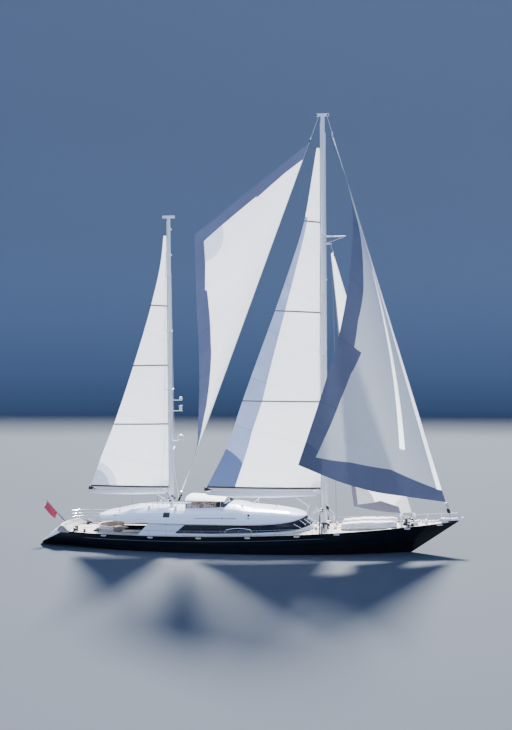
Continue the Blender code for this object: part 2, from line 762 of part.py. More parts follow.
def covered_tender(side, deck_cutter):
    """A small boat stowed on the foredeck, laced under its white cover."""
    word = "port" if side > 0 else "starboard"
    shape = [(5.7, 0.2, 1.66), (5.78, 0.36, 1.86), (6.0, 0.45, 1.95), (6.6, 0.5, 2.02),
             (7.3, 0.5, 2.09), (8.0, 0.48, 2.1), (8.6, 0.41, 2.12), (9.1, 0.27, 2.12),
             (9.35, 0.12, 2.08)]
    rings = []
    for x, half, top in shape:
        row = [(x, side * 0.88 + half, 1.2)]
        for angle in np.linspace(0, math.pi, 11):
            across = math.copysign(abs(math.cos(angle)) ** 0.55, math.cos(angle))
            low = top - 0.34
            row.append((x, side * 0.88 + half * across, low + 0.34 * math.sin(angle) ** 0.8))
        row.append((x, side * 0.88 - half, 1.2))
        rings.append(row)
    made = loft("covered_tender_" + word, rings, "cushion")
    return boolean(made, deck_cutter)


def windlass(deck_cutter):
    made = block("windlass", (9.72, -0.48, 1.7), (10.12, 0.48, 1.98), "dark")
    drums = []
    for y in (-0.3, 0.3):
        for low, high, r in ((1.9, 2.06, 0.13), (2.0, 2.2, 0.07), (2.16, 2.24, 0.11)):
            drums.append(bar("drum_tool_%d_%d" % (y * 10, low * 100), (9.92, y, low), (9.92, y, high),
                             r, "dark"))
    unite(made, drums)
    return boolean(made, deck_cutter)


BENCH_ENDS = (-4.5, -2.75)
PAD_LIFT = 2.64


def flybridge_bench(side):
    """A bench with its back, and the two pads that lie on it."""
    word = "port" if side > 0 else "starboard"
    floor = FLY_FLOOR_Z + GAP
    profile = [(1.46, floor), (0.96, floor), (0.96, PAD_LIFT), (1.36, PAD_LIFT), (1.38, 3.02),
               (1.46, 3.02)]
    rings = [[(x, side * y, z) for y, z in profile] for x in BENCH_ENDS]
    loft("flybridge_bench_" + word, rings, "white", smooth=False)
    seat = [(0.94, PAD_LIFT + GAP), (0.94, 2.73), (0.97, 2.75), (1.22, 2.75), (1.24, 2.73),
            (1.24, PAD_LIFT + GAP)]
    rings = [[(x, side * y, z) for y, z in seat] for x in (BENCH_ENDS[0] + 0.02, BENCH_ENDS[1] - 0.02)]
    loft("flybridge_seat_pad_" + word, rings, "cushion", smooth=False)
    back = [(1.3596, PAD_LIFT + GAP), (1.245, PAD_LIFT + GAP), (1.25, 3.04), (1.275, 3.07),
            (1.35, 3.07), (1.3785, 3.0)]
    rings = [[(x, side * y, z) for y, z in back] for x in (BENCH_ENDS[0] + 0.02, BENCH_ENDS[1] - 0.02)]
    loft("flybridge_back_pad_" + word, rings, "cushion", smooth=False)


CONSOLE_Y = -0.75
WHEEL_AT = (-2.62, CONSOLE_Y, 2.84)
WHEEL_RADIUS = 0.27


def ring_rings(centre, axis, radius, tube_radius, around=20, sides=6):
    """Sections of a closed hoop about an axis."""
    side, up = frame_of(axis)
    axis = np.asarray(axis, float) / np.linalg.norm(axis)
    rings = []
    for a in np.arange(around) * 2 * math.pi / around:
        out = math.cos(a) * side + math.sin(a) * up
        middle = np.asarray(centre) + out * radius
        rings.append([middle + tube_radius * (math.cos(b) * out + math.sin(b) * axis)
                      for b in np.arange(sides) * 2 * math.pi / sides])
    return rings


def helm():
    """The steering console, its wheel, and the raked screen in front of the flybridge."""
    console = block("helm_console", (-2.5, CONSOLE_Y - 0.35, FLY_FLOOR_Z + GAP),
                    (-2.05, CONSOLE_Y + 0.35, 3.04), "dark")
    boss = bar("boss_tool", (-2.56, CONSOLE_Y, 2.84), (-2.4, CONSOLE_Y, 2.84), 0.05, "dark")
    unite(console, [boss])
    centre = np.array(WHEEL_AT)
    hub = bar("helm_wheel", centre - (0.03, 0, 0), (-2.56 - GAP, CONSOLE_Y, 2.84), 0.04, "steel",
              origin=WHEEL_AT)
    rim = loft("rim_tool", ring_rings(WHEEL_AT, (1, 0, 0), WHEEL_RADIUS, 0.014), "steel",
               closed_along=True)
    spokes = []
    for k in range(5):
        angle = math.pi / 2 + k * 2 * math.pi / 5
        out = np.array([0, math.cos(angle), math.sin(angle)])
        spokes.append(bar("spoke_tool_%d" % k, centre, centre + out * WHEEL_RADIUS, 0.009, "steel",
                          sides=6))
    unite(hub, spokes + [rim])


def windscreen(roof_top_cutter):
    """A raked screen round the front of the flybridge, standing on the roof beside its well."""
    rings = []
    for z, shift in ((2.75, 0.1), (3.08, -0.11)):
        rows = []
        for thick in (0.0, 0.018):
            row = []
            for angle in np.radians(np.linspace(-90, 90, 17)):
                across = math.copysign(abs(math.sin(angle)) ** 0.7, math.sin(angle))
                deep = abs(math.cos(angle)) ** 0.7
                row.append((shift - 2.0 + (0.42 - thick) * deep, (1.59 - thick) * across, z))
            rows.append(row)
        rings.append(rows[0] + rows[1][::-1])
    made = loft("windscreen", rings, "glass")
    return boolean(made, roof_top_cutter)


# Canopy hoops: place along the boat, height of the crown, fall to the edges
BIMINI_HOOPS = ((-4.3, 3.47, 0.24), (-3.2, 3.44, 0.22), (-2.1, 3.4, 0.18))
BIMINI_SPAN = 1.52


def bimini_line(x, crown, drop, lift):
    """The curve across the canopy at one hoop, from edge to edge."""
    line = []
    for t in np.linspace(-1, 1, 9):
        fall = drop * (0.84 * abs(t) ** 4 + 0.16 * t * t)
        line.append((x, (BIMINI_SPAN + lift * 0.6) * t, crown - fall + lift))
    return line


def bimini(roof_cutter):
    """Three hoops joined by two side rails, and the canopy that lies on them."""
    hoops = []
    for x, crown, drop in BIMINI_HOOPS:
        line = bimini_line(x, crown, drop, 0.0)
        feet = []
        for side in (-1, 1):
            y = side * (BIMINI_SPAN + 0.1)
            feet.append((x, y, height_under(roof_cutter, x, y) + 0.0108))
        hoops.append(path_rings([feet[0]] + line + [feet[1]], 0.014))
    frame = loft("bimini_frame", hoops[0], "steel")
    rest = joined("hoop_tool", hoops[1:], "steel")
    rails = []
    for side in (-1, 1):
        path = []
        for x, crown, drop in BIMINI_HOOPS:
            path.append((x, side * BIMINI_SPAN, crown - drop))
        path[0] = (path[0][0] - 0.02, path[0][1], path[0][2])
        path[-1] = (path[-1][0] + 0.02, path[-1][1], path[-1][2])
        rails.append(path_rings(path, 0.012))
    unite(frame, [rest, joined("side_rail_tool", rails, "steel")])
    first = BIMINI_HOOPS[0]
    last = BIMINI_HOOPS[-1]
    hoops = [(first[0] - 0.22, first[1] - 0.01, first[2])] + list(BIMINI_HOOPS)
    hoops.append((last[0] + 0.25, last[1] - 0.02, last[2]))
    rings = []
    for x, crown, drop in hoops:
        low = bimini_line(x, crown, drop, 0.0133)
        high = bimini_line(x, crown, drop, 0.0233)
        rings.append(low + high[::-1])
    loft("bimini_cover", rings, "cushion")


# Middle of the curved sofa in the aft cockpit, and the top of its back
SOFA_CENTRE = (-9.4, 0.0)
SOFA_BACK_Z = 1.4


def half_ring(name, profile, finish, degrees=(92, 268), steps=15):
    """A profile of radius and height swept round the aft half of the cockpit."""
    rings = []
    for angle in np.radians(np.linspace(degrees[0], degrees[1], steps)):
        ring = []
        for r, z in profile:
            ring.append((SOFA_CENTRE[0] + r * math.cos(angle), r * math.sin(angle), z))
        rings.append(ring)
    return loft(name, rings, finish)


def aft_cockpit():
    floor = WELL_FLOOR + GAP
    half_ring("aft_sofa", [(0.86, floor), (1.4, floor), (1.4, SOFA_BACK_Z), (1.31, SOFA_BACK_Z), (1.28, 0.98),
                           (0.86, 0.98)], "white")
    half_ring("aft_sofa_pad", [(0.84, 0.98 + GAP), (1.25, 0.98 + GAP), (1.25, 1.06), (1.22, 1.08),
                               (0.87, 1.08), (0.84, 1.06)], "cushion", (94, 266))
    table_x = SOFA_CENTRE[0] + 0.1
    table = bar("cockpit_table", (table_x, 0, 1.1), (table_x, 0, 1.14), 0.5, "teak", sides=24)
    leg = bar("table_leg_tool", (table_x, 0, floor), (table_x, 0, 1.12), 0.06, "steel")
    unite(table, [leg])
    block("saloon_door", (DOOR_X, -0.5, WELL_FLOOR + 0.006), (DOOR_X + 0.03, 0.5, 1.76), "glass",
          origin=(DOOR_X, 0, 1.2))


DOOR_X = BULKHEAD_X + WALL_THICK + GAP
STAFF_FOOT_X = -13.25
STAFF_TOP = (-14.6, 0.0, 2.88)
STAFF_RADIUS = 0.02


def ensign(coaming):
    """The staff on the stern coaming and the flag that droops from it."""
    foot = np.array([STAFF_FOOT_X, 0.0, height_under(coaming, STAFF_FOOT_X, 0.0) + 6 * GAP])
    top = np.array(STAFF_TOP)
    bar("ensign_staff", foot, top, STAFF_RADIUS, "white", sides=8, facing=(0, 0, 1))
    along = (top - foot) / np.linalg.norm(top - foot)
    below = np.array([-along[2], 0, along[0]])
    hoist = []
    fly = []
    for t in (0.42, 0.6, 0.78, 0.95):
        place = foot + (top - foot) * t + below * (STAFF_RADIUS - 0.0032)
        hoist.append(tuple(place))
        wave = 0.06 * math.sin(t * 9)
        fly.append((place[0] - 0.1, wave - 0.1, place[2] - 0.42 + 0.04 * math.cos(t * 12)))
    sail("ensign", hoist, fly, 0.05, 7, 5)


PLATFORM_LOW = 2.125
PLATFORM_TOP = 2.24


def bow_platform(deck_cutter):
    """The platform over the stem that carries the genoa stay and the anchor roller."""
    rings = []
    for x, half, lift in ((12.15, 0.26, 0.0), (12.9, 0.24, 0.0), (13.3, 0.2, 0.05),
                          (13.58, 0.15, 0.1)):
        rings.append([(x, -half, PLATFORM_LOW + lift), (x, half, PLATFORM_LOW + lift),
                      (x, half, PLATFORM_TOP + lift), (x, -half, PLATFORM_TOP + lift)])
    made = loft("bow_platform", rings, "white", smooth=False)
    base = block("platform_base_tool", (12.15, -0.16, 1.8), (12.55, 0.16, PLATFORM_LOW + 0.02),
                 "white")
    unite(made, [base])
    return boolean(made, deck_cutter)


def mast_radius(z, foot, head, radius):
    t = (z - foot[1]) / (head[1] - foot[1])
    return radius[0] + (radius[1] - radius[0]) * t


def mast_x(z, foot, head):
    t = (z - foot[1]) / (head[1] - foot[1])
    return foot[0] + (head[0] - foot[0]) * t


def luff_axis(foot, head, radius, z):
    """Point and direction of the line just behind the mast that boom and sail turn about."""
    def behind(height):
        return (mast_x(height, foot, head) - mast_radius(height, foot, head, radius)
                - LUFF_BEHIND_MAST)
    point = np.array([behind(z), 0.0, z])
    top = np.array([behind(head[1]), 0.0, head[1]])
    return point, (top - point) / np.linalg.norm(top - point)


def mast(name, foot, head, radius, spreaders, boom_z, vang_z, clear):
    body = bar(name, (foot[0], 0, foot[1] + GAP), (head[0], 0, head[1]), radius[0], "white",
               end_radius=radius[1], sides=14, facing=(0, 0, 1))
    tools = []
    for z, length in spreaders:
        x = mast_x(z, foot, head)
        for side in (-1, 1):
            rings = []
            for y, chord, thick in ((0.0, 0.15, 0.035), (length, 0.07, SPREADER_TIP)):
                cx = x - 0.09 * y
                lift = z + 0.06 * y
                rings.append([(cx + chord, side * y, lift), (cx, side * y, lift + thick),
                              (cx - chord, side * y, lift), (cx, side * y, lift - thick)])
            tools.append(loft("spreader_tool_%s_%d_%d" % (name, int(z * 10), side), rings, "white",
                              smooth=False))
    for z, half in ((boom_z, clear), (vang_z, VANG_HALF)):
        point, _ = luff_axis(foot, head, radius, z)
        x = mast_x(z, foot, head)
        for k in (-1, 1):
            low = z + k * (half + 0.0254) - 0.025
            tools.append(block("lug_tool_%s_%d_%d" % (name, int(z * 10), k),
                               (point[0] - 0.05, -0.05, low), (x, 0.05, low + 0.05), "white"))
    crane = block("crane_tool_" + name, (head[0] - 0.42, -0.07, head[1] - CRANE_DROP),
                  (head[0] + CRANE_FORE, 0.07, head[1] + 0.06), "white")
    tools.append(crane)
    unite(body, tools)
    return body


def boom_rings(point, axis, z, length, depths, ease, drop=0.0):
    """Oval sections of a boom that deepens to its middle, turned to where it is trimmed."""
    top = z + depths[0] / 2 - drop
    rings = []
    for t, depth, width in ((0.0, depths[0] * 0.75, 0.10), (0.05, depths[0], 0.17),
                            (0.4, depths[1], 0.23), (0.75, depths[1] * 0.92, 0.21),
                            (0.97, depths[2], 0.14), (1.0, depths[2] * 0.7, 0.09)):
        x = point[0] - 0.14 - (length - 0.14) * t
        centre = top - depth / 2
        angles = np.arange(12) * 2 * math.pi / 12
        rings.append([(x, width * 0.5 * math.cos(a), centre + depth * 0.5 * math.sin(a))
                      for a in angles])
    return turned(rings, point, axis, ease)


def boom(name, foot, head, radius, z, length, depths, ease, knuckle, posts):
    """The boom on an upright knuckle at the mast, with a post under each low sail corner."""
    point, axis = luff_axis(foot, head, radius, z)
    rings = boom_rings(point, axis, z, length, depths, ease)
    made = loft(name, rings, "white", origin=tuple(point))
    tools = []
    for k, place in enumerate(posts):
        tools.append(bar("post_tool_%s_%d" % (name, k), (place[0], place[1], z), place, 0.03, "dark",
                         sides=8))
    pin_low = point + axis * -knuckle
    pin_high = point + axis * knuckle
    pin = bar("knuckle_tool_" + name, pin_low, pin_high, 0.045, "steel")
    neck_points = [point + np.array([-0.02, -0.035, -0.05]), point + np.array([-0.3, 0.035, 0.05])]
    low = np.minimum(*neck_points)
    high = np.maximum(*neck_points)
    neck = block("neck_tool_" + name, low, high, "steel")
    neck.data.transform(turn_matrix(point, axis, ease))
    unite(made, [pin, neck] + tools)
    return made


def turn_matrix(point, axis, degrees):
    move = Matrix.Translation(Vector(point))
    turn = Matrix.Rotation(math.radians(degrees), 4, Vector(axis))
    return move @ turn @ move.inverted()


def vang(name, foot, head, radius, vang_z, reach, boom_shape, ease):
    """The strut that holds the boom down, from the mast foot to the boom's underside."""
    low, axis = luff_axis(foot, head, radius, vang_z)
    boom_z, length, depths = boom_shape
    end = np.array([low[0] - reach, 0.0, boom_z])
    start = low + np.array([-0.03, 0, 0.0])
    start, end = turned([start, end], low, axis, ease)
    made = bar(name, start, end, 0.03, "steel", end_radius=0.035, origin=tuple(low))
    reach_up = axis * (VANG_HALF - GAP)
    pin = bar("pin_tool_" + name, low - reach_up, low + reach_up, 0.038, "steel")
    unite(made, [pin])
    point, axis = luff_axis(foot, head, radius, boom_z)
    rings = boom_rings(point, axis, boom_z, length, depths, ease, GAP)
    return boolean(made, loft("boom_cutter_" + name, rings, "white"))


def spaced_curve(points, count):
    """A smooth line through a few points, read at even shares of its length."""
    points = np.asarray(points, float)
    steps = np.linalg.norm(np.diff(points, axis=0), axis=1)
    along = np.concatenate([[0], np.cumsum(steps)]) / steps.sum()
    at = np.linspace(0, 1, count)
    return np.stack([curve_value(list(zip(along, points[:, k])), at) for k in range(3)], axis=1)


def sail(name, luff, leech, belly, rows, columns, origin=(0, 0, 0), foot=None):
    """A thin curved solid between luff and leech, bellied to starboard."""
    luff = spaced_curve(luff, rows)
    leech = spaced_curve(leech, rows)
    t = np.linspace(0, 1, columns)[None, :, None]
    s = np.linspace(0, 1, rows)[:, None, None]
    grid = luff[:, None] * (1 - t) + leech[:, None] * t
    chord = np.linalg.norm(leech - luff, axis=1)[:, None, None]
    swell = np.sin(math.pi * t**0.8) * np.sin(math.pi * np.clip(s * 0.85 + 0.12, 0, 1)) ** 0.7
    grid[..., 1:2] -= belly * chord * swell
    if foot is not None:
        grid[0] = spaced_curve(foot, columns)
    du = np.gradient(grid, axis=0)
    dv = np.gradient(grid, axis=1)
    normal = np.cross(du, dv)
    normal /= np.maximum(np.linalg.norm(normal, axis=2, keepdims=True), 1e-9)
    front = grid + normal * SAIL_THICK / 2
    back = grid - normal * SAIL_THICK / 2
    rings = np.concatenate([front, back[:, ::-1]], axis=1)
    return loft(name, rings, "sail", origin=origin)


def foot_posts(tack, clew):
    """Tops of the two posts that carry a sail's foot, just under its cloth."""
    places = []
    for share in (0.08, 0.985):
        place = np.asarray(tack) * (1 - share) + np.asarray(clew) * share
        places.append((place[0], place[1], place[2] - 0.0014))
    return places


def stay(name, line, low_z, high_z, drum):
    """A stay as one straight rod between two heights, with its furling drum low down."""
    low = on_line(line, low_z)
    high = on_line(line, high_z)
    rod = bar(name, low, high, line[2], "steel", sides=6, facing=(0, 0, 1))
    start, end, width = drum
    drum_low = on_line(line, start)
    drum_high = on_line(line, end)
    unite(rod, [bar("drum_tool_" + name, drum_low, drum_high, width, "dark")])
    return rod


def shrouds(name, foot, head, radius, spreaders, chainplate, side):
    """The cap shroud, from its chainplate past the spreader tips to the masthead."""
    top_z = head[1] - 0.25
    wide = mast_radius(top_z, foot, head, radius) + SHROUD_RADIUS + 5 * GAP
    top = (mast_x(top_z, foot, head), side * wide, top_z)
    path = [(chainplate[0], side * chainplate[1], chainplate[2])]
    above = [(z, length) for z, length in spreaders[1:]] + [(top_z, wide)]
    for (z, length), (next_z, next_y) in zip(spreaders, above):
        lean = (length - next_y) / (next_z - z)
        y = length + SHROUD_RADIUS + 3 * GAP + SPREADER_TIP * lean
        path.append((mast_x(z, foot, head) - 0.09 * length, side * y, z + 0.06 * length))
    path.append(top)
    return tube(name, path, SHROUD_RADIUS, "steel")


# Stays: a low and a high point on the line, and the rod's radius
GENOA_STAY = ((12.75, 0, 2.3), (4.95, 0, 27.9), 0.02)
STAYSAIL_STAY = ((10.45, 0, 2.0), (5.0, 0, 20.1), 0.018)
MULE_STAY = ((-5.3, 0, 2.95), (3.75, 0, 27.4), 0.018)
CRANE_DROP = 0.12
CRANE_FORE = 0.42
FORESTAY_TANG_Z = 20.12


def on_line(line, z):
    """The point of a stay's line at one height."""
    low = np.asarray(line[0], float)
    high = np.asarray(line[1], float)
    return low + (high - low) * (z - low[2]) / (high[2] - low[2])


def luff_on(stay_line, low_z, high_z, gap):
    """The edge of a sail that lies just behind its stay, between two heights."""
    low, high, radius = stay_line
    low = np.asarray(low, float)
    high = np.asarray(high, float)
    along = (high - low) / np.linalg.norm(high - low)
    behind = np.array([-along[2], 0, along[0]]) * (radius + gap)
    places = []
    for z in np.linspace(low_z, high_z, 5):
        places.append(tuple(low + along * ((z - low[2]) / along[2]) + behind))
    return places


# Luffs of the two boomed sails: heights of tack and head
MAIN_TACK_Z = 3.99
MAIN_LUFF_TOP = 26.5
MIZZEN_TACK_Z = 3.9
MIZZEN_LUFF_TOP = 20.9

# Free edges of the sails, from the foot up, as worked out from the side view
MAIN_LEECH = [(-3.04, -1.6, 4.12), (-1.66, -1.43, 6.94), (-0.7, -1.32, 9.8), (-0.15, -1.23, 11.36),
              (1.39, -0.9, 15.69), (2.18, -0.7, 18.02), (3.28, -0.36, 21.69), (3.77, -0.19, 24.6),
              (4.06, -0.07, MAIN_LUFF_TOP)]
MIZZEN_LEECH = [(-11.08, -1.1, 4.02), (-10.44, -1.04, 5.85), (-9.53, -0.91, 8.21),
                (-8.25, -0.66, 12.12), (-7.11, -0.35, 16.18), (-6.47, -0.13, 19.26),
                (-6.32, -0.05, MIZZEN_LUFF_TOP)]
GENOA_LUFF = luff_on(GENOA_STAY, 3.3, 27.4, 0.0034)
GENOA_LEECH = [(3.19, -3.15, 5.85), (4.72, -3.1, 10.47), (5.7, -2.8, 13.85), (6.41, -2.0, 18.49),
               (6.5, -1.2, 22.02), (6.3, -0.75, 23.4), (4.88, -0.09, 27.3)]
GENOA_FOOT = [GENOA_LUFF[0], (9.87, -1.3, 3.76), (8.03, -2.2, 4.12), (6.05, -2.9, 4.72),
              (3.19, -3.15, 5.85)]
STAYSAIL_LUFF = luff_on(STAYSAIL_STAY, 2.56, 19.6, 0.0012)
STAYSAIL_LEECH = [(6.62, -1.65, 3.12), (6.3, -1.5, 5.5), (5.9, -1.1, 10.0), (5.4, -0.5, 15.5),
                  (5.0, -0.05, 19.5)]
STAYSAIL_FOOT = [STAYSAIL_LUFF[0], (9.4, -0.5, 2.6), (8.1, -1.15, 2.79), (6.62, -1.65, 3.12)]
MULE_LUFF = luff_on(MULE_STAY, 3.75, 26.8, 0.004)
MULE_LEECH = [(MULE_LUFF[0][0] - 0.03, -0.2, 3.76), (-3.94, -0.35, 6.82), (-3.83, -0.55, 8.1),
              (-3.65, -1.1, 12.84), (-3.77, -1.3, 15.94), (-3.85, -1.6, 20.73)]


def build():
    clear_scene()
    hull_body = hull()
    hull_cutter = loft("hull_cutter", np.array([skin_ring(u) for u in station_shares()])
                       - np.array([0, 0, 0.0005]), "hull_black")
    well = well_cutter("well_cutter", 0.0)
    boolean(hull_body, well)
    deck = deck_solid("deck", GAP, DECK_THICK)
    boolean(deck, well)
    deck_cutter = deck_solid("deck_cutter", -1.2, DECK_THICK + GAP)
    boolean(deck_cutter, well_cutter("well_cutter_small", GAP))
    roof_cutter = roof_solid("roof_cutter", GAP)
    rails = {side: bulwark(side) for side in (-1, 1)}
    coaming = transom_coaming()
    deckhouse(deck_cutter, roof_cutter)
    roof()
    band = window_corners((-5.0, -2.5, 0.3, 1.6, 2.9), (2.4, 1.6, 0.3, -2.5, -4.38))
    for side, word in ((-1, "starboard"), (1, "port")):
        glass_pane("side_glass_" + word, band, side * 0.3, side * 3.0)
    nose = window_corners((3.15, 3.5, 3.9), (3.3, 2.8))
    glass_pane("front_glass", nose[:3] + [(4.4, 1.86), (4.4, nose[3][1])] + nose[3:], -3.0, 3.0)
    keel(hull_cutter)
    rudder(hull_cutter)
    for side in (-1, 1):
        running_gear(side, hull_cutter)
    bow_platform(deck_cutter)
    for side in (-1, 1):
        guardrail(side, rails[side])
        covered_tender(side, deck_cutter)
        flybridge_bench(side)
    pulpit(rails)
    windlass(deck_cutter)
    helm()
    windscreen(roof_solid("roof_top_cutter", -GAP))
    bimini(roof_cutter)
    aft_cockpit()
    ensign(coaming)
    rig(deck_cutter, roof_cutter, rails)


def rig(deck_cutter, roof_cutter, rails):
    main = mast("main_mast", MAIN_FOOT, MAIN_HEAD, MAIN_RADIUS, MAIN_SPREADERS, MAIN_BOOM_Z, 2.35,
                0.13)
    step = bar("mast_step_tool", (MAIN_FOOT[0], 0, 1.2), (MAIN_FOOT[0], 0, MAIN_FOOT[1] + 0.03),
               0.24, "white", end_radius=0.2)
    tang = block("forestay_tang_tool", (MAIN_HEAD[0], -0.03, FORESTAY_TANG_Z),
                 (5.06, 0.03, FORESTAY_TANG_Z + 0.08), "white")
    unite(main, [step, tang])
    boolean(main, deck_cutter)
    mizzen = mast("mizzen_mast", MIZZEN_FOOT, MIZZEN_HEAD, MIZZEN_RADIUS, MIZZEN_SPREADERS,
                  MIZZEN_BOOM_Z, 2.95, 0.12)
    unite(mizzen, mizzen_antennas())
    radar_scanner()
    main_tack, main_axis = luff_axis(MAIN_FOOT, MAIN_HEAD, MAIN_RADIUS,
                                     MAIN_TACK_Z)
    main_head = main_tack + main_axis * (MAIN_LUFF_TOP - MAIN_TACK_Z)
    mizzen_tack, mizzen_axis = luff_axis(MIZZEN_FOOT, MIZZEN_HEAD, MIZZEN_RADIUS,
                                         MIZZEN_TACK_Z)
    mizzen_head = mizzen_tack + mizzen_axis * (MIZZEN_LUFF_TOP - MIZZEN_TACK_Z)
    boom("main_boom", MAIN_FOOT, MAIN_HEAD, MAIN_RADIUS, MAIN_BOOM_Z, MAIN_BOOM_LENGTH,
         MAIN_BOOM_DEPTHS, MAIN_EASE, 0.13, foot_posts(main_tack, MAIN_LEECH[0]))
    boom("mizzen_boom", MIZZEN_FOOT, MIZZEN_HEAD, MIZZEN_RADIUS, MIZZEN_BOOM_Z,
         MIZZEN_BOOM_LENGTH, MIZZEN_BOOM_DEPTHS, MIZZEN_EASE, 0.1193,
         foot_posts(mizzen_tack, MIZZEN_LEECH[0]))
    vang("main_vang", MAIN_FOOT, MAIN_HEAD, MAIN_RADIUS, 2.35, 2.0,
         (MAIN_BOOM_Z, MAIN_BOOM_LENGTH, MAIN_BOOM_DEPTHS), MAIN_EASE)
    vang("mizzen_vang", MIZZEN_FOOT, MIZZEN_HEAD, MIZZEN_RADIUS, 2.95, 1.1,
         (MIZZEN_BOOM_Z, MIZZEN_BOOM_LENGTH, MIZZEN_BOOM_DEPTHS), MIZZEN_EASE)
    sail("mainsail", [main_tack, main_head], MAIN_LEECH, 0.07, 12, 7, origin=tuple(main_tack))
    sail("mizzen_sail", [mizzen_tack, mizzen_head], MIZZEN_LEECH, 0.07, 11, 6,
         origin=tuple(mizzen_tack))
    sail("genoa", GENOA_LUFF, GENOA_LEECH, 0.09, 13, 9, foot=GENOA_FOOT)
    sail("staysail", STAYSAIL_LUFF, STAYSAIL_LEECH, 0.06, 11, 6, foot=STAYSAIL_FOOT)
    sail("mizzen_staysail", MULE_LUFF, MULE_LEECH, 0.08, 12, 7)
    crane_z = MAIN_HEAD[1] - CRANE_DROP - GAP
    stay("genoa_stay", GENOA_STAY, PLATFORM_TOP + GAP, crane_z, (2.42, 3.24, 0.1))
    inner = stay("inner_forestay", STAYSAIL_STAY, 1.7, FORESTAY_TANG_Z - GAP, (2.12, 2.45, 0.08))
    boolean(inner, deck_cutter)
    stay("mizzen_staysail_stay", MULE_STAY, MIZZEN_DECK_Z + GAP, crane_z, (3.0, 3.3, 0.07))
    for side, word in ((-1, "starboard"), (1, "port")):
        shrouds("main_shroud_" + word, MAIN_FOOT, MAIN_HEAD, MAIN_RADIUS, MAIN_SPREADERS,
                (4.3, CHAINPLATE_Y, height_under(rails[side], 4.3, side * CHAINPLATE_Y) + 0.0016),
                side)
        foot_z = height_under(roof_cutter, -6.2, side * 1.72) + 0.005
        shrouds("mizzen_shroud_" + word, MIZZEN_FOOT, MIZZEN_HEAD, MIZZEN_RADIUS,
                MIZZEN_SPREADERS, (-6.2, 1.72, foot_z), side)


def well_cutter(name, shrink):
    """Outline of the sunk cockpit and saloon floor, open at the top."""
    half = WELL_HALF - shrink
    outline = [(WELL_AFT_X + shrink, -half), (0.4, -half), (WELL_FORE_X - shrink, -1.0),
               (WELL_FORE_X - shrink, 1.0), (0.4, half), (WELL_AFT_X + shrink, half)]
    rings = [[(x, y, z) for x, y in outline] for z in (WELL_FLOOR + shrink, 4.0)]
    return loft(name, rings, "teak", smooth=False)


build()
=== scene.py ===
import math

import bmesh
import bpy
import numpy as np
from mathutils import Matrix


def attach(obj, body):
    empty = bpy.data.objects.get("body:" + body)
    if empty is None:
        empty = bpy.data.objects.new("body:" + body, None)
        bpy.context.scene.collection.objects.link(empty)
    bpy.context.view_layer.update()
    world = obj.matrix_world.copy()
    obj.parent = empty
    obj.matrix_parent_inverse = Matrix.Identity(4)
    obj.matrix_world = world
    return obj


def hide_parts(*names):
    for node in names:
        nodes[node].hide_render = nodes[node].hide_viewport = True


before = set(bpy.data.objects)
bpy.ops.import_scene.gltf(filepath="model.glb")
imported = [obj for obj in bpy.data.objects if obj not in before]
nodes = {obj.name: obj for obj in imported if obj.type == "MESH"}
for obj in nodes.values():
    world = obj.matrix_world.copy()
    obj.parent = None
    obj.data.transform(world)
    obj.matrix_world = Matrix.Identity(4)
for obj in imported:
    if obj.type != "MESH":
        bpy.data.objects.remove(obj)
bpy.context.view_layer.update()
print("frame read:", len(nodes), "nodes")

# Camera and lights

view = {"place": (10.95, -69.14, 12.175), "turn": (90.0, 0.0, 9.0), "focal": 51.78,
        "sensor": 36, "far": 2000}
lamps = {
    "keyLight": {"turn": (47, 0, 184), "power": 23.0, "spread": 10},
    "fillLight": {"turn": (64, 0, -24), "power": 0.45, "spread": 60},
}
sky = {"colour": (0.26, 0.49, 1.08), "power": 1.5}


def place(name, data, turn):
    holder = bpy.data.objects.new(name, data)
    holder.rotation_euler = [math.radians(a) for a in turn]
    bpy.context.scene.collection.objects.link(holder)
    return holder


def setCamera():
    lens = bpy.data.cameras.new("photoView")
    lens.lens = view["focal"]
    lens.sensor_width = view["sensor"]
    lens.clip_end = view["far"]
    camera = place("photoView", lens, view["turn"])
    camera.location = view["place"]
    bpy.context.scene.camera = camera


def setLights():
    for name, plan in lamps.items():
        lamp = bpy.data.lights.new(name, "SUN")
        lamp.energy = plan["power"]
        lamp.angle = math.radians(plan["spread"])
        place(name, lamp, plan["turn"])
    world = bpy.data.worlds.new("studioSky")
    world.use_nodes = True
    back = world.node_tree.nodes["Background"]
    back.inputs["Color"].default_value = (*sky["colour"], 1)
    back.inputs["Strength"].default_value = sky["power"]
    bpy.context.scene.world = world


# Shapes: a part is (points, faces), worked out as whole arrays

upright = (0, 0, 1)
acrossBoat = (0, 1, 0)
alongBoat = (1, 0, 0)


def spots(x, y, z):
    # points from their three coordinates, each a number or an array
    return np.stack(np.broadcast_arrays(x, y, z), axis=-1)


def mesh2(first, second):
    return np.meshgrid(first, second, indexing="ij")


def unit(vector):
    # the vector over its own length
    vector = np.asarray(vector, float)
    return vector / np.linalg.norm(vector, axis=-1, keepdims=True)


def turns(count):
    # even angles once round
    return np.arange(count) * 2 * math.pi / count


def squared(wave, power):
    # a sine or cosine raised to a power with its sign kept, which squares a circle's corners
    return np.sign(wave) * np.abs(wave) ** power


def curveValue(stops, at):
    # a smooth curve through (place, value) stops, by cubic pieces with the slopes of the stops
    xs, ys = np.array(stops, float).T
    slopes = np.gradient(ys, xs)
    at = np.clip(np.asarray(at, float), xs[0], xs[-1])
    i = np.clip(np.searchsorted(xs, at, side="right") - 1, 0, len(xs) - 2)
    step = xs[i + 1] - xs[i]
    t = (at - xs[i]) / step
    start = (2 * t**3 - 3 * t**2 + 1) * ys[i] + (t**3 - 2 * t**2 + t) * step * slopes[i]
    end = (-2 * t**3 + 3 * t**2) * ys[i + 1] + (t**3 - t**2) * step * slopes[i + 1]
    return start + end


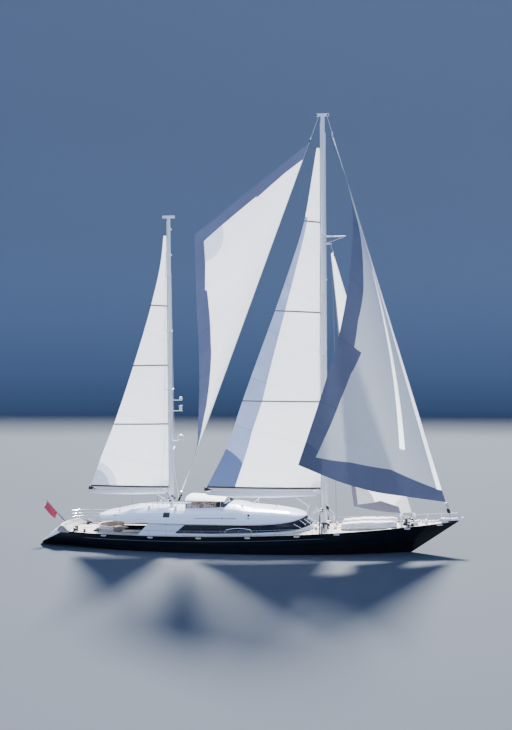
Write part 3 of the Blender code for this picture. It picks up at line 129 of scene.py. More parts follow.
def smoothPath(points, count):
    # a smooth line through a few points, read at even shares of its length
    points = np.asarray(points, float)
    steps = np.linalg.norm(np.diff(points, axis=0), axis=1)
    along = np.concatenate([[0], np.cumsum(steps)]) / steps.sum()
    at = np.linspace(0, 1, count)
    return np.stack([curveValue(np.stack([along, points[:, k]], 1), at) for k in range(3)], axis=1)


def gridFaces(rows, columns, wrapRows=False, wrapColumns=False):
    # quads between neighbours; a wrapped direction meets its own start
    a, b = mesh2(np.arange(rows if wrapRows else rows - 1),
                 np.arange(columns if wrapColumns else columns - 1))
    c = (a + 1) % rows
    d = (b + 1) % columns
    quads = [a * columns + b, a * columns + d, c * columns + d, c * columns + b]
    return np.stack(quads, axis=-1).reshape(-1, 4)


def rings(points, closed=False):
    # rows of rings joined by quads, with a face over the first and the last ring
    rows, columns = points.shape[:2]
    faces = gridFaces(rows, columns, closed, True).tolist()
    if not closed:
        faces += [list(range(columns)), list(range((rows - 1) * columns, rows * columns))]
    return points.reshape(-1, 3), faces


def sweep(path, profile, up=upright, sizes=None, closed=False):
    # profile points (across, up) carried along the path, square to it
    path = np.asarray(path, float)
    profile = np.asarray(profile, float)
    ways = np.gradient(path, axis=0)
    if closed:
        ways = np.roll(path, -1, axis=0) - np.roll(path, 1, axis=0)
    ways = unit(ways)
    across = unit(np.cross(np.asarray(up, float), ways))
    lift = np.cross(ways, across)
    grow = np.ones(len(path)) if sizes is None else np.asarray(sizes, float)
    ring = profile[None, :, :1] * across[:, None] + profile[None, :, 1:] * lift[:, None]
    return rings(path[:, None] + ring * grow[:, None, None], closed)


def roundProfile(radius, sides=8):
    return np.stack([radius * np.cos(turns(sides)), radius * np.sin(turns(sides))], axis=1)


def barProfile(low, high, bottom, top):
    # a flat bar's section from its half widths and heights, below and above
    return [(-low, bottom), (low, bottom), (high, top), (-high, top)]


def tube(path, radius, sides=8, sizes=None, closed=False):
    # a circle carried along the path; the guide direction is the one least along it
    path = np.asarray(path, float)
    spread = np.ptp(path, axis=0) if closed else np.abs(path[-1] - path[0])
    guide = np.eye(3)[int(np.argmin(spread + np.array([0, 1e-6, 2e-6])))]
    return sweep(path, roundProfile(radius, sides), guide, sizes, closed)


def lathe(profile, centre, axis=upright, sides=20):
    # (radius, height) stops turned once about an axis through the centre
    axis = unit(axis)
    across = unit(np.cross(alongBoat if abs(axis[0]) < 0.9 else acrossBoat, axis))
    lift = np.cross(axis, across)
    profile = np.asarray(profile, float)
    turn = turns(sides)
    circle = np.cos(turn)[:, None] * across + np.sin(turn)[:, None] * lift
    points = np.asarray(centre, float) + profile[:, 1, None, None] * axis
    return rings(points + profile[:, 0, None, None] * circle[None])


def roundBox(low, high, edge=0.01, corner=3):
    # each corner is a small ball's octant, moved out from the box's middle
    low = np.asarray(low, float)
    high = np.asarray(high, float)
    edge = min(edge, *(0.499 * (high - low)))
    turn = np.linspace(0, math.pi / 2, corner)
    angle = np.concatenate([turn + k * math.pi / 2 for k in range(4)])
    tilt = np.concatenate([turn - math.pi / 2, turn])
    half = (high - low) / 2 - edge
    flat = edge * np.cos(tilt)[:, None]
    x = np.repeat([1, -1, -1, 1], corner) * half[0] + flat * np.cos(angle)[None]
    y = np.repeat([1, 1, -1, -1], corner) * half[1] + flat * np.sin(angle)[None]
    z = (np.repeat([-1, 1], corner) * half[2] + edge * np.sin(tilt))[:, None]
    return rings(spots(x, y, z) + (low + high) / 2)


def plate(grid, thick):
    # a thick skin: the grid moved half the thickness both ways along its normals, edges closed
    grid = np.asarray(grid, float)
    normal = np.cross(np.gradient(grid, axis=0), np.gradient(grid, axis=1))
    normal /= np.maximum(np.linalg.norm(normal, axis=2, keepdims=True), 1e-9)
    rows, columns = grid.shape[:2]
    front = (grid + normal * thick / 2).reshape(-1, 3)
    back = (grid - normal * thick / 2).reshape(-1, 3)
    size = rows * columns
    quads = gridFaces(rows, columns)
    number = np.arange(size).reshape(rows, columns)
    rim = np.concatenate([number[0], number[1:, -1], number[-1, -2::-1], number[-2:0:-1, 0]])
    after = np.roll(rim, -1)
    edge = np.stack([rim, after, after + size, rim + size], axis=1)
    faces = np.concatenate([quads, quads[:, ::-1] + size, edge[:, ::-1]])
    return np.concatenate([front, back]), faces.tolist()


def turned(points, origin, axis, degrees):
    # points turned about an axis through the origin point
    axis = unit(axis)
    rel = np.asarray(points, float) - np.asarray(origin, float)
    angle = math.radians(degrees)
    along = (rel @ axis)[..., None] * axis
    across = rel - along
    moved = across * math.cos(angle) + np.cross(axis, across) * math.sin(angle)
    return np.asarray(origin, float) + along + moved


def clothArea(grid, flat):
    # the sum of the quads' cross products, held between 0.3 and 1 of the flat sheet
    steps = np.cross(grid[1:, :-1] - grid[:-1, :-1], grid[:-1, 1:] - grid[:-1, :-1])
    sheet = flat[0] * flat[1]
    return min(1.0, max(0.3, float(np.linalg.norm(steps, axis=2).sum()) / sheet)) * sheet


def piece(name, parts, finish, body="hull_set", smooth=38, uv=None, merge=True):
    # one object of several parts; faces are turned outwards and shaded smooth below an angle
    points = []
    faces = []
    for somePoints, someFaces in parts:
        start = len(points)
        points += np.asarray(somePoints, float).tolist()
        faces += [[start + k for k in face] for face in someFaces]
    mesh = bpy.data.meshes.new(name)
    mesh.from_pydata(points, [], faces)
    work = bmesh.new()
    work.from_mesh(mesh)
    if merge:
        bmesh.ops.remove_doubles(work, verts=work.verts, dist=1e-5)
    bmesh.ops.recalc_face_normals(work, faces=work.faces)
    work.to_mesh(mesh)
    work.free()
    mesh.shade_smooth()
    mesh.set_sharp_from_angle(angle=math.radians(smooth))
    if uv is not None:
        layer = mesh.uv_layers.new(name="cloth")
        corners = np.zeros(len(mesh.loops), dtype=np.int32)
        mesh.loops.foreach_get("vertex_index", corners)
        layer.data.foreach_set("uv", np.asarray(uv, np.float32)[corners].ravel())
    mesh.materials.append(finish)
    made = place(name, mesh, (0, 0, 0))
    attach(made, body)
    return made


def bothSides(parts):
    # the same parts again, mirrored to the other side
    return list(parts) + [(np.asarray(p) * (1, -1, 1), f) for p, f in parts]


# Finishes

class Wire:
    # one socket, so that plain expressions on it add Math nodes
    def __init__(self, finish, socket):
        self.finish = finish
        self.socket = socket

    def maths(self, operation, first, second=0.0, clamp=False):
        settings = {"operation": operation, "use_clamp": clamp}
        return self.finish.add("ShaderNodeMath", settings, {0: first, 1: second})

    def __add__(self, other):
        return self.maths("ADD", self, other)

    __radd__ = __add__

    def __sub__(self, other):
        return self.maths("SUBTRACT", self, other)

    def __rsub__(self, other):
        return self.maths("SUBTRACT", other, self)

    def __mul__(self, other):
        return self.maths("MULTIPLY", self, other)

    __rmul__ = __mul__

    def __truediv__(self, other):
        return self.maths("DIVIDE", self, other)

    def __rtruediv__(self, other):
        return self.maths("DIVIDE", other, self)

    def __pow__(self, other):
        return self.maths("POWER", self, other)

    def __mod__(self, other):
        return self.maths("FLOORED_MODULO", self, other)

    def __abs__(self):
        return self.maths("ABSOLUTE", self)

    def limit(self):
        return self.maths("ADD", self, 0.0, True)

    def whole(self):
        return self.maths("FLOOR", self)

    def wave(self):
        return self.maths("SINE", self)

    def most(self, other):
        return self.maths("MAXIMUM", self, other)

    def near(self, centre, half, soft):
        # 1 within half of the centre, falling to 0 over soft
        return (1 - (abs(self - centre) - half) / soft).limit()

    def over(self, edge, soft):
        # 0 below the edge, rising to 1 over soft
        return ((self - edge) / soft).limit()


def scaled(colour, amount):
    return [c * amount for c in colour]


class Finish:
    # a material with one Principled shader; what is the same all over is set on its sockets
    def __init__(self, name, colour, rough, **fixed):
        self.material = bpy.data.materials.new(name)
        self.material.use_nodes = True
        self.tree = self.material.node_tree
        self.shader = self.tree.nodes["Principled BSDF"]
        self.colour = (*colour, 1)
        self.shader.inputs["Base Color"].default_value = self.colour
        self.shader.inputs["Roughness"].default_value = rough
        for key, value in fixed.items():
            self.shader.inputs[key.replace("_", " ")].default_value = value

    def add(self, kind, settings=None, inputs=None, output=0):
        node = self.tree.nodes.new(kind)
        for key, value in (settings or {}).items():
            if key == "stops":
                ramp = node.color_ramp.elements
                ramp.remove(ramp[1])
                ramp[0].position, ramp[0].color = value[0]
                for spot, colour in value[1:]:
                    ramp.new(spot).color = colour
            else:
                setattr(node, key, value)
        for key, value in (inputs or {}).items():
            if isinstance(value, Wire):
                self.tree.links.new(value.socket, node.inputs[key])
            else:
                node.inputs[key].default_value = value
        return Wire(self, node.outputs[output])

    def feed(self, socket, wire):
        self.tree.links.new(wire.socket, self.shader.inputs[socket])

    def place(self, scale=(1, 1, 1), turn=(0, 0, 0)):
        # object coordinates, turned and scaled
        spot = self.add("ShaderNodeTexCoord", output="Object")
        turn = [math.radians(a) for a in turn]
        return self.add("ShaderNodeMapping", None, {0: spot, 2: turn, 3: scale})

    def split(self, vector):
        node = self.add("ShaderNodeSeparateXYZ", None, {0: vector}).socket.node
        return [Wire(self, node.outputs[k]) for k in range(3)]

    def noise(self, vector, scale, detail=3.0, rough=0.5):
        values = {"Vector": vector, "Scale": scale, "Detail": detail, "Roughness": rough}
        return self.add("ShaderNodeTexNoise", None, values)

    def mix(self, mask, first, second):
        first, second = [c if isinstance(c, Wire) else (*c, 1)[:4] for c in (first, second)]
        return self.add("ShaderNodeMix", {"data_type": "RGBA"}, {0: mask, 6: first, 7: second}, 2)

    def stops(self, value, stops):
        # a grey value read from (place, value) stops
        grey = [(spot, (v, v, v, 1)) for spot, v in stops]
        return self.add("ShaderNodeValToRGB", {"stops": grey}, {0: value})

    def tone(self, wire, amount):
        # the base colour darkened and lightened a little by a value about one half
        low = scaled(self.colour[:3], 1 - amount)
        high = [min(1, c) for c in scaled(self.colour[:3], 1 + amount)]
        return self.mix(wire, low, high)

    def done(self, base, rough, height=None, strength=0.1, distance=0.01):
        # joins what varies to the shader: base colour, roughness and a bump by height
        self.feed("Base Color", base)
        if rough is not None:
            self.feed("Roughness", rough)
        if height is not None:
            values = {"Strength": strength, "Distance": distance, "Height": height}
            self.feed("Normal", self.add("ShaderNodeBump", None, values))
        return self.material


hullPlan = {
    "black": (0.0045, 0.006, 0.009), "stripe": (0.11, 0.12, 0.135), "white": (0.84, 0.85, 0.87),
    "bottom": (0.03, 0.038, 0.055), "salt": (0.2, 0.22, 0.24),
    "stripeDrop": 0.31, "stripeHalf": 0.014, "stripeEnds": (-11.4, 4.9), "stripeFade": 0.5,
    "sheerLow": (-8.0, 1.04), "sheerCurve": 0.00238,
    "wedgeFoot": 0.08, "wedgeSlope": 2.0, "wedgeAft": 14.8, "waterline": -0.03,
}


def hullPaint():
    # black topsides with a thin line under the sheer, white stern wedge, dull bottom paint
    p = hullPlan
    paint = Finish("hullPaint", p["black"], 0.1, Specular_IOR_Level=0.1)
    spot = paint.place()
    x, y, z = paint.split(spot)
    lowX, lowZ = p["sheerLow"]
    aft, fore = p["stripeEnds"]
    fade = p["stripeFade"]
    drop = lowZ + p["sheerCurve"] * (x - lowX) ** 2.0 - z
    ends = x.over(aft, fade) * (1 - x.over(fore - fade, fade))
    line = drop.near(p["stripeDrop"], p["stripeHalf"], 0.004) * ends
    cloud = paint.noise(spot, 0.9, 4.0)
    fine = paint.noise(paint.place((6, 6, 1.2)), 3.0, 4.0, 0.6)
    base = paint.mix(cloud, p["black"], scaled(p["black"], 1.6))
    salt = (1 - z.over(0.0, 0.35)) * fine.over(0.5, 0.3) * 0.1
    base = paint.mix(salt, base, p["salt"])
    base = paint.mix(line, base, p["stripe"])
    wedge = (z - p["wedgeFoot"]) * p["wedgeSlope"] - p["wedgeAft"] - x
    wedge = wedge.over(0.0, 0.01) * z.over(0.06, 0.01)
    base = paint.mix(wedge, base, p["white"])
    under = 1 - z.over(p["waterline"], 0.01)
    worn = paint.mix(fine, p["bottom"], scaled(p["bottom"], 1.9))
    return paint.done(paint.mix(under, base, worn), 0.07 + 0.06 * cloud + 0.55 * under + salt,
                      cloud * 0.6 + fine * 0.05, 0.08, 0.05)


def bottomPaint():
    # dull antifouling, mottled by fine noise
    paint = Finish("bottomPaint", hullPlan["bottom"], 0.7)
    fine = paint.noise(paint.place((2, 2, 1)), 7.0, 5.0, 0.65)
    return paint.done(paint.tone(fine, 0.4), 0.55 + 0.25 * fine, fine, 0.25, 0.01)


def whitePaint(name, colour, rough=0.16):
    # glossy yacht paint over fairing that is very slightly wavy, with faint rain marks
    paint = Finish(name, colour, rough, Coat_Weight=0.35, Coat_Roughness=0.05)
    wave = paint.noise(paint.place(), 0.8, 2.0)
    marks = paint.noise(paint.place((9, 9, 0.7)), 1.4, 4.0, 0.6)
    base = paint.tone(wave, 0.018)
    base = paint.mix(marks.over(0.56, 0.3) * 0.16, base, scaled(colour, 0.86))
    return paint.done(base, rough + 0.12 * marks, wave + marks * 0.03, 0.05, 0.05)


def sparPaint():
    # satin painted tube, streaked along its length
    paint = Finish("sparPaint", (0.79, 0.81, 0.84), 0.3, Coat_Weight=0.2)
    streak = paint.noise(paint.place((8, 8, 0.25)), 1.6, 4.0, 0.6)
    fine = paint.noise(paint.place(), 14.0, 2.0)
    base = paint.mix(streak.over(0.52, 0.25) * 0.3, paint.tone(fine, 0.02), (0.62, 0.64, 0.67))
    return paint.done(base, 0.24 + 0.2 * streak, streak + fine * 0.1, 0.06, 0.01)


teakPlan = {"plank": 0.055, "seam": 0.0035, "butt": 1.9, "light": (0.56, 0.46, 0.36),
            "dark": (0.44, 0.34, 0.25), "caulk": (0.035, 0.032, 0.03), "silver": (0.5, 0.46, 0.4),
            "blur": 0.0012, "stagger": 0.618}


def teakDeck(name="teakDeck", across=1, grey=0.35):
    # planks along the boat with dark caulked seams, staggered butts, grain and silvering
    p = teakPlan
    wood = Finish(name, p["light"], 0.7)
    spot = wood.place()
    parts = wood.split(spot)
    x = parts[1 - across]
    y = parts[across]
    half = p["seam"] / 2
    rowNumber = (y / p["plank"]).whole()
    edge = (y % p["plank"]).near(0.0, half, p["blur"])
    edge = edge.most((y % p["plank"]).near(p["plank"], half, p["blur"]))
    shift = (rowNumber * p["stagger"]) % 1.0 * p["butt"]
    edge = edge.most(((x + shift) % p["butt"]).near(0.0, half, p["blur"]))
    number = {0: rowNumber, 1: ((x + shift) / p["butt"]).whole()}
    number = {"Vector": wood.add("ShaderNodeCombineXYZ", None, number)}
    shade = wood.add("ShaderNodeTexWhiteNoise", {"noise_dimensions": "2D"}, number)
    stretch = (1.2, 26, 1) if across == 1 else (26, 1.2, 1)
    grain = wood.noise(wood.place(stretch), 3.0, 6.0, 0.7)
    worn = wood.noise(spot, 0.7, 3.0)
    base = wood.mix(shade * 0.6 + grain * 0.4, p["dark"], p["light"])
    base = wood.mix(worn.over(0.4, 0.35) * grey, base, p["silver"])
    return wood.done(wood.mix(edge, base, p["caulk"]), 0.62 + 0.2 * grain - 0.2 * edge,
                     grain * 0.35 - edge * 0.6, 0.35, 0.003)


def sofaPaint():
    # a beige moulded shell with a white rim above 1.34 m
    shell = Finish("sofaShell", (0.5, 0.44, 0.4), 0.35)
    z = shell.split(shell.place())[2]
    cloud = shell.noise(shell.place(), 1.5, 3.0)
    base = shell.mix(cloud, (0.42, 0.36, 0.33), (0.55, 0.48, 0.44))
    base = shell.mix(z.over(1.34, 0.005), base, (0.86, 0.87, 0.89))
    return shell.done(base, 0.3 + 0.15 * cloud, cloud, 0.05, 0.02)


def benchFinish():
    # beige moulded benches with brown slatted fronts, a slat every 0.21 m
    shell = Finish("benchSides", (0.6, 0.52, 0.44), 0.5)
    x = shell.split(shell.place())[0]
    cloud = shell.noise(shell.place((1.2, 1, 1)), 2.6, 4.0, 0.6)
    base = shell.mix(cloud.over(0.45, 0.15), (0.27, 0.17, 0.12), (0.66, 0.58, 0.5))
    slat = (x / 0.21 % 1.0).near(0.5, 0.05, 0.05)
    return shell.done(shell.mix(slat * 0.7, base, (0.12, 0.06, 0.05)), 0.4 + 0.2 * cloud,
                      cloud * 0.3 - slat * 0.6, 0.2, 0.006)


def coamingPaint():
    # a planked top, and white edges aft of 13.18 m from midships
    wood = Finish("coamingTeak", teakPlan["light"], 0.7)
    x, y, z = wood.split(wood.place())
    seam = (y % 0.06).near(0.03, 0.003, 0.002) * z.over(1.12, 0.01)
    grain = wood.noise(wood.place((1.2, 26, 1)), 3.0, 6.0, 0.7)
    slow = wood.noise(wood.place((1, 3, 1)), 1.6, 3.0, 0.6)
    base = wood.mix(grain * 0.5 + slow * 0.5, (0.16, 0.13, 0.12), (0.42, 0.37, 0.34))
    base = wood.mix(seam, base, teakPlan["caulk"])
    aft = (-13.18 - x).over(0.0, 0.01)
    return wood.done(wood.mix(aft, base, hullPlan["white"]), 0.65 - 0.45 * aft + 0.15 * grain,
                     grain * 0.3 - seam * 0.6, 0.3, 0.003)


def varnish(name="varnishedWood", low=(0.12, 0.045, 0.018), high=(0.3, 0.14, 0.06), coat=0.8):
    # varnished joinery with long grain
    wood = Finish(name, high, 0.18, Coat_Weight=coat, Coat_Roughness=0.05)
    grain = wood.noise(wood.place((2, 24, 24)), 2.0, 6.0, 0.7)
    return wood.done(wood.mix(grain, low, high), None, grain, 0.12, 0.002)


def darkGlass(name="darkGlass", colour=(0.006, 0.009, 0.018)):
    # tinted panes with slow paler clouds, as of a room behind them, and fine smears
    glass = Finish(name, colour, 0.05, Specular_IOR_Level=0.3)
    spot = glass.place()
    room = glass.noise(glass.place((0.7, 0.7, 2.5)), 1.3, 3.0, 0.55)
    smear = glass.noise(spot, 9.0, 4.0, 0.6)
    base = glass.mix(room.over(0.5, 0.25) * 0.5, colour, (0.02, 0.027, 0.045))
    return glass.done(base, 0.03 + 0.05 * smear)


def polishedSteel(name="polishedSteel", colour=(0.66, 0.68, 0.7), rough=0.22):
    # stainless with fine brushed marks and dull spots
    steel = Finish(name, colour, rough, Metallic=1.0)
    brush = steel.noise(steel.place((3, 40, 40)), 5.0, 3.0, 0.6)
    dull = steel.noise(steel.place(), 3.0, 4.0, 0.6)
    base = steel.tone(dull, 0.12)
    return steel.done(base, rough - 0.06 + 0.12 * brush + 0.12 * dull, brush, 0.08, 0.001)


def stayRod(name, low, high):
    # pale rod that turns to a black drum between two heights
    rod = Finish(name, (0.55, 0.57, 0.6), 0.34, Metallic=0.7)
    z = rod.split(rod.place())[2]
    brush = rod.noise(rod.place((40, 40, 3)), 5.0, 3.0, 0.6)
    drum = z.over(low - 0.02, 0.005) * (1 - z.over(high + 0.02, 0.005))
    base = rod.mix(drum, rod.tone(brush, 0.1), (0.02, 0.021, 0.024))
    return rod.done(base, 0.3 + 0.12 * brush + 0.15 * drum, brush, 0.06, 0.001)


def castBronze():
    # cast bronze, browned and a little green in the hollows
    bronze = Finish("castBronze", (0.5, 0.3, 0.13), 0.35, Metallic=1.0)
    cloud = bronze.noise(bronze.place(), 6.0, 5.0, 0.6)
    base = bronze.mix(cloud, (0.33, 0.18, 0.08), (0.62, 0.4, 0.18))
    base = bronze.mix(cloud.over(0.6, 0.2) * 0.4, base, (0.16, 0.26, 0.2))
    return bronze.done(base, 0.25 + 0.35 * cloud, cloud, 0.15, 0.004)


def blackGear(name="blackGear", colour=(0.018, 0.019, 0.022), rough=0.4):
    # anodised or moulded gear, greyed by sun
    gear = Finish(name, colour, rough)
    grainy = gear.noise(gear.place(), 60.0, 3.0, 0.6)
    worn = gear.noise(gear.place(), 4.0, 4.0, 0.6)
    base = gear.mix(worn.over(0.55, 0.2) * 0.35, colour, scaled(colour, 3))
    return gear.done(base, rough - 0.08 + 0.25 * worn, grainy, 0.12, 0.001)


def fabric(name, colour, weave=0.004, soft=0.9):
    # woven cloth: the product of two crossed sine threads, a slow change of tone, a soft sheen
    cloth = Finish(name, colour, soft, Sheen_Weight=0.25, Sheen_Roughness=0.5)
    spot = cloth.place()
    x, y, z = cloth.split(spot)
    turn = 2 * math.pi / weave
    threads = ((x + z) * turn).wave() * ((y + z * 0.6) * turn).wave()
    slow = cloth.noise(spot, 2.2, 4.0, 0.55)
    crease = cloth.noise(cloth.place((1, 1, 2.2)), 5.0, 3.0, 0.5)
    base = cloth.tone(slow, 0.1)
    base = cloth.mix(threads.over(0.0, 0.8) * 0.25, base, scaled(colour, 0.72))
    return cloth.done(base, soft - 0.12 + 0.15 * slow, threads * 0.12 + crease * 0.9, 0.4, 0.004)


def ropeLay(name, colour):
    # laid or braided line: slanting sine strands and fuzz
    rope = Finish(name, colour, 0.85)
    x, y, z = rope.split(rope.place())
    strand = ((x + y + z * 1.6) * 500).wave()
    fuzz = rope.noise(rope.place(), 40.0, 3.0)
    base = rope.mix(strand.over(0.0, 0.7) * 0.4, rope.tone(fuzz, 0.12), scaled(colour, 0.6))
    return rope.done(base, None, strand + fuzz * 0.3, 0.4, 0.002)


# Sails: the same surface as the solids, finer, with their panels, bands, battens and patches

sailTones = {"cloth": (0.82, 0.83, 0.84), "seam": (0.62, 0.64, 0.68), "batten": (0.1, 0.11, 0.13),
             "patch": (0.52, 0.54, 0.58), "tape": (0.1, 0.095, 0.1)}
clothPlan = {"seamHalf": 0.018, "seamBlur": 0.012, "batten": 0.032, "pocket": 0.075,
             "ray": 0.0022, "bars": 0.14, "ripstop": 0.09}


def sailcloth(name, plan):
    # shares u from luff to leech and v from foot to head place every seam, band and batten
    t = sailTones
    p = clothPlan
    # a plan's shade darkens the cloth all over: painted shade
    cloth = Finish(name, scaled(t["cloth"], plan.get("shade", 1.0)), 0.62, Sheen_Weight=0.1)
    u, v = cloth.split(cloth.add("ShaderNodeUVMap", {"uv_map": "cloth"}))[:2]
    spot = cloth.place()
    x, _, z = cloth.split(spot)
    high = plan["height"]
    level = (v + plan["tilt"] * u) * plan["panels"] + plan.get("phase", 0.0)
    grain = plan["panels"] / high
    panel = cloth.add("ShaderNodeTexWhiteNoise", {"noise_dimensions": "1D"}, {"W": level.whole()})
    base = cloth.tone(cloth.noise(spot, 0.35, 3.0), 0.03)
    base = cloth.mix(panel * 0.1, base, scaled(t["cloth"], 0.8))
    lines = (level % 1.0).near(0.5, p["seamHalf"] * grain, p["seamBlur"] * grain)
    minor = (level * 3.0 % 1.0).near(0.5, 0.012 * grain, 0.02 * grain) * 0.4
    for foot, head in plan["rays"]:
        reach = abs(u - foot - (head - foot) * v)
        lines = lines.most((1 - reach / p["ray"]).limit())
    lines = lines.most(minor)
    base = cloth.mix(lines * 0.55, base, t["seam"])
    band = u.over(2.0, 1.0)
    if "leechBand" in plan:
        band = band.most(u.over(cloth.stops(v, plan["leechBand"]), 0.002))
    if "footBand" in plan:
        band = band.most(1 - v.over(cloth.stops(u, plan["footBand"]), 0.001))
    if "headBand" in plan:
        band = band.most(v.over(cloth.stops(u, plan["headBand"]), 0.001))

    def away(centreX, centreZ):
        return ((x - centreX) * (x - centreX) + (z - centreZ) * (z - centreZ)) ** 0.5

    for centreX, centreZ, radius, tint in plan.get("patches", ()):
        # a round reinforcement at a corner, with rings and spokes, on the white only
        far = away(centreX, centreZ)
        inside = (1 - far.over(radius, 0.01)) * (1 - band)
        turn = u.maths("ARCTAN2", z - centreZ, x - centreX)
        spokes = (turn * 6.0 % 1.0).near(0.5, 0.02, 0.05)
        rounds = (far % (radius / 3)).near(radius / 6, 0.008, 0.006)
        base = cloth.mix(inside * 0.8, base, tint)
        base = cloth.mix(inside * spokes.most(rounds) * 0.4, base, scaled(tint, 0.7))
    if "bandTint" in plan:
        tint = plan["bandTint"]
        slow = cloth.noise(spot, 1.1, 4.0, 0.6)
        worn = cloth.mix(slow, tint, scaled(tint, 1.25))
        worn = cloth.mix(lines * 0.4, worn, scaled(tint, 0.55))
        base = cloth.mix(band, base, worn)
    for centreX, centreZ, radius, tint in plan.get("darkClew", ()):
        far = away(centreX, centreZ)
        base = cloth.mix((1 - far.over(radius, 0.01)) * band * 0.8, base, tint)
    for luffShare, leechShare in plan.get("battens", ()):
        off = abs(v - luffShare - (leechShare - luffShare) * u) * high
        base = cloth.mix((1 - off.over(p["pocket"], 0.01)) * 0.35, base, t["patch"])
        base = cloth.mix(1 - off.over(p["batten"], 0.008), base, t["batten"])
    if "webbing" in plan:
        lowZ, wide = plan["webbing"]
        bars = (x / p["bars"] % 1.0).near(0.5, 0.1, 0.08)
        bars = bars * (1 - z.over(lowZ, 0.05)) * (1 - u.over(wide, 0.01))
        base = cloth.mix(bars * 0.5, base, t["patch"])
    if "footTape" in plan:
        base = cloth.mix(1 - v.over(plan["footTape"], 0.001), base, t["tape"])
    # painted sunlight: lighter, more translucent strips where the sun falls between the shadows of
    # other sails
    sunlit = None
    for foot, head, half, low, top in plan.get("sunlitStrips", ()):
        reach = abs(u - foot - (head - foot) * v)
        sunlitStrip = (1 - reach.over(half, 0.002)) * v.over(low, 0.003) * (1 - v.over(top, 0.003))
        sunlit = sunlit.most(sunlitStrip) if sunlit else sunlitStrip
        base = cloth.mix(sunlitStrip, base, plan["sunlitTint"])
    slack = cloth.noise(cloth.place((0.5, 0.5, 1.6), (0, 32, 0)), 1.3, 4.0, 0.5)
    grid = (x / p["ripstop"] % 1.0).near(0.5, 0.05, 0.06)
    grid = grid.most((z / p["ripstop"] % 1.0).near(0.5, 0.05, 0.06))
    cloth.done(base, None, slack * 1.3 + lines * 0.12 + grid * 0.03, 0.5, 0.03)
    # daylight that comes through the cloth, and more of it in the painted sunlit strips
    glow = plan["glow"]
    if sunlit:
        glow = glow + sunlit * (plan["sunlitGlow"] - glow)
    through = cloth.add("ShaderNodeBsdfTranslucent", None, {"Color": base}).socket
    both = cloth.add("ShaderNodeMixShader", None, {0: glow}).socket
    cloth.tree.links.new(cloth.shader.outputs[0], both.node.inputs[1])
    cloth.tree.links.new(through, both.node.inputs[2])
    cloth.tree.links.new(both, cloth.tree.nodes["Material Output"].inputs["Surface"])
    return cloth.material


rigPlan = {
    "mainMast": ((4.575, 1.86), (4.445, 28.7), (0.175, 0.14)),
    "mizzenMast": ((-5.745, 2.6), (-5.985, 22.2), (0.145, 0.11)),
    "mainSpreaders": [(8.9, 1.75), (12.8, 1.55), (16.9, 1.3), (20.66, 1.0)],
    "mizzenSpreaders": [(6.47, 1.45), (10.5, 1.25), (14.45, 1.05), (18.16, 0.8)],
    "genoaStay": ((12.75, 0, 2.3), (4.95, 0, 27.9), 0.02),
    "staysailStay": ((10.45, 0, 2.0), (5.0, 0, 20.1), 0.018),
    "muleStay": ((-5.3, 0, 2.95), (3.75, 0, 27.4), 0.018),
    "mainBoom": {"z": 3.7, "length": 7.6, "depths": (0.37, 0.44, 0.26), "ease": 12.2},
    "mizzenBoom": {"z": 3.66, "length": 5.4, "depths": (0.32, 0.36, 0.22), "ease": 12.0},
    "behindMast": 0.06, "sailThick": 0.011,
}


def mastX(mast, z):
    # x of a raked mast's axis at a height
    foot, head, _ = mast
    return foot[0] + (head[0] - foot[0]) * (z - foot[1]) / (head[1] - foot[1])


def mastRadius(mast, z):
    # a mast tapers evenly from foot to head
    foot, head, radius = mast
    return radius[0] + (radius[1] - radius[0]) * (z - foot[1]) / (head[1] - foot[1])


def luffAxis(mast, z):
    # the line just behind a mast that its boom and sail turn about
    def behind(height):
        gap = mastRadius(mast, height) + rigPlan["behindMast"]
        return np.array([mastX(mast, height) - gap, 0.0, height])
    return behind(z), unit(behind(mast[1][1]) - behind(z))


def mastLuff(mast, low, high):
    # the sail's edge behind its mast, from one height up
    point, axis = luffAxis(mast, low)
    return [tuple(point), tuple(point + axis * (high - low))]


def stayWay(line):
    return unit(np.asarray(line[1], float) - np.asarray(line[0], float))


def onStay(line, z):
    # the point of a straight stay at a height
    low = np.asarray(line[0], float)
    high = np.asarray(line[1], float)
    return low + (high - low) * (z - low[2]) / (high[2] - low[2])


def stayLuff(line, low, high, gap):
    # the edge of a sail just behind its stay
    along = stayWay(line)
    behind = np.array([-along[2], 0, along[0]]) * (line[2] + gap)
    return [tuple(onStay(line, z) + behind) for z in np.linspace(low, high, 5)]


def sailGrid(luff, leech, belly, rows, columns, foot=None):
    # straight rulings from luff to leech, pushed to starboard by belly * chord * a sine hump
    luff = smoothPath(luff, rows)
    leech = smoothPath(leech, rows)
    t = np.linspace(0, 1, columns)[None, :, None]
    s = np.linspace(0, 1, rows)[:, None, None]
    grid = luff[:, None] * (1 - t) + leech[:, None] * t
    chord = np.linalg.norm(leech - luff, axis=1)[:, None, None]
    hump = np.sin(math.pi * t**0.8) * np.sin(math.pi * np.clip(s * 0.85 + 0.12, 0, 1)) ** 0.7
    grid[..., 1:2] -= belly * chord * hump
    if foot is not None:
        # the solid's first row of faces runs from the foot curve to its second row
        share = np.clip(s * plainRows, 0, 1)
        second = grid[int(math.ceil((rows - 1) / plainRows))]
        below = smoothPath(foot, columns)[None]
        grid = np.where(share < 1, below * (1 - share) + second[None] * share, grid)
    return grid


plainRows = 11
mainMast = rigPlan["mainMast"]
mizzenMast = rigPlan["mizzenMast"]
genoaLuff = stayLuff(rigPlan["genoaStay"], 3.3, 27.4, 0.0034)
staysailLuff = stayLuff(rigPlan["staysailStay"], 2.56, 19.6, 0.0012)
muleLuff = stayLuff(rigPlan["muleStay"], 3.75, 26.8, 0.004)

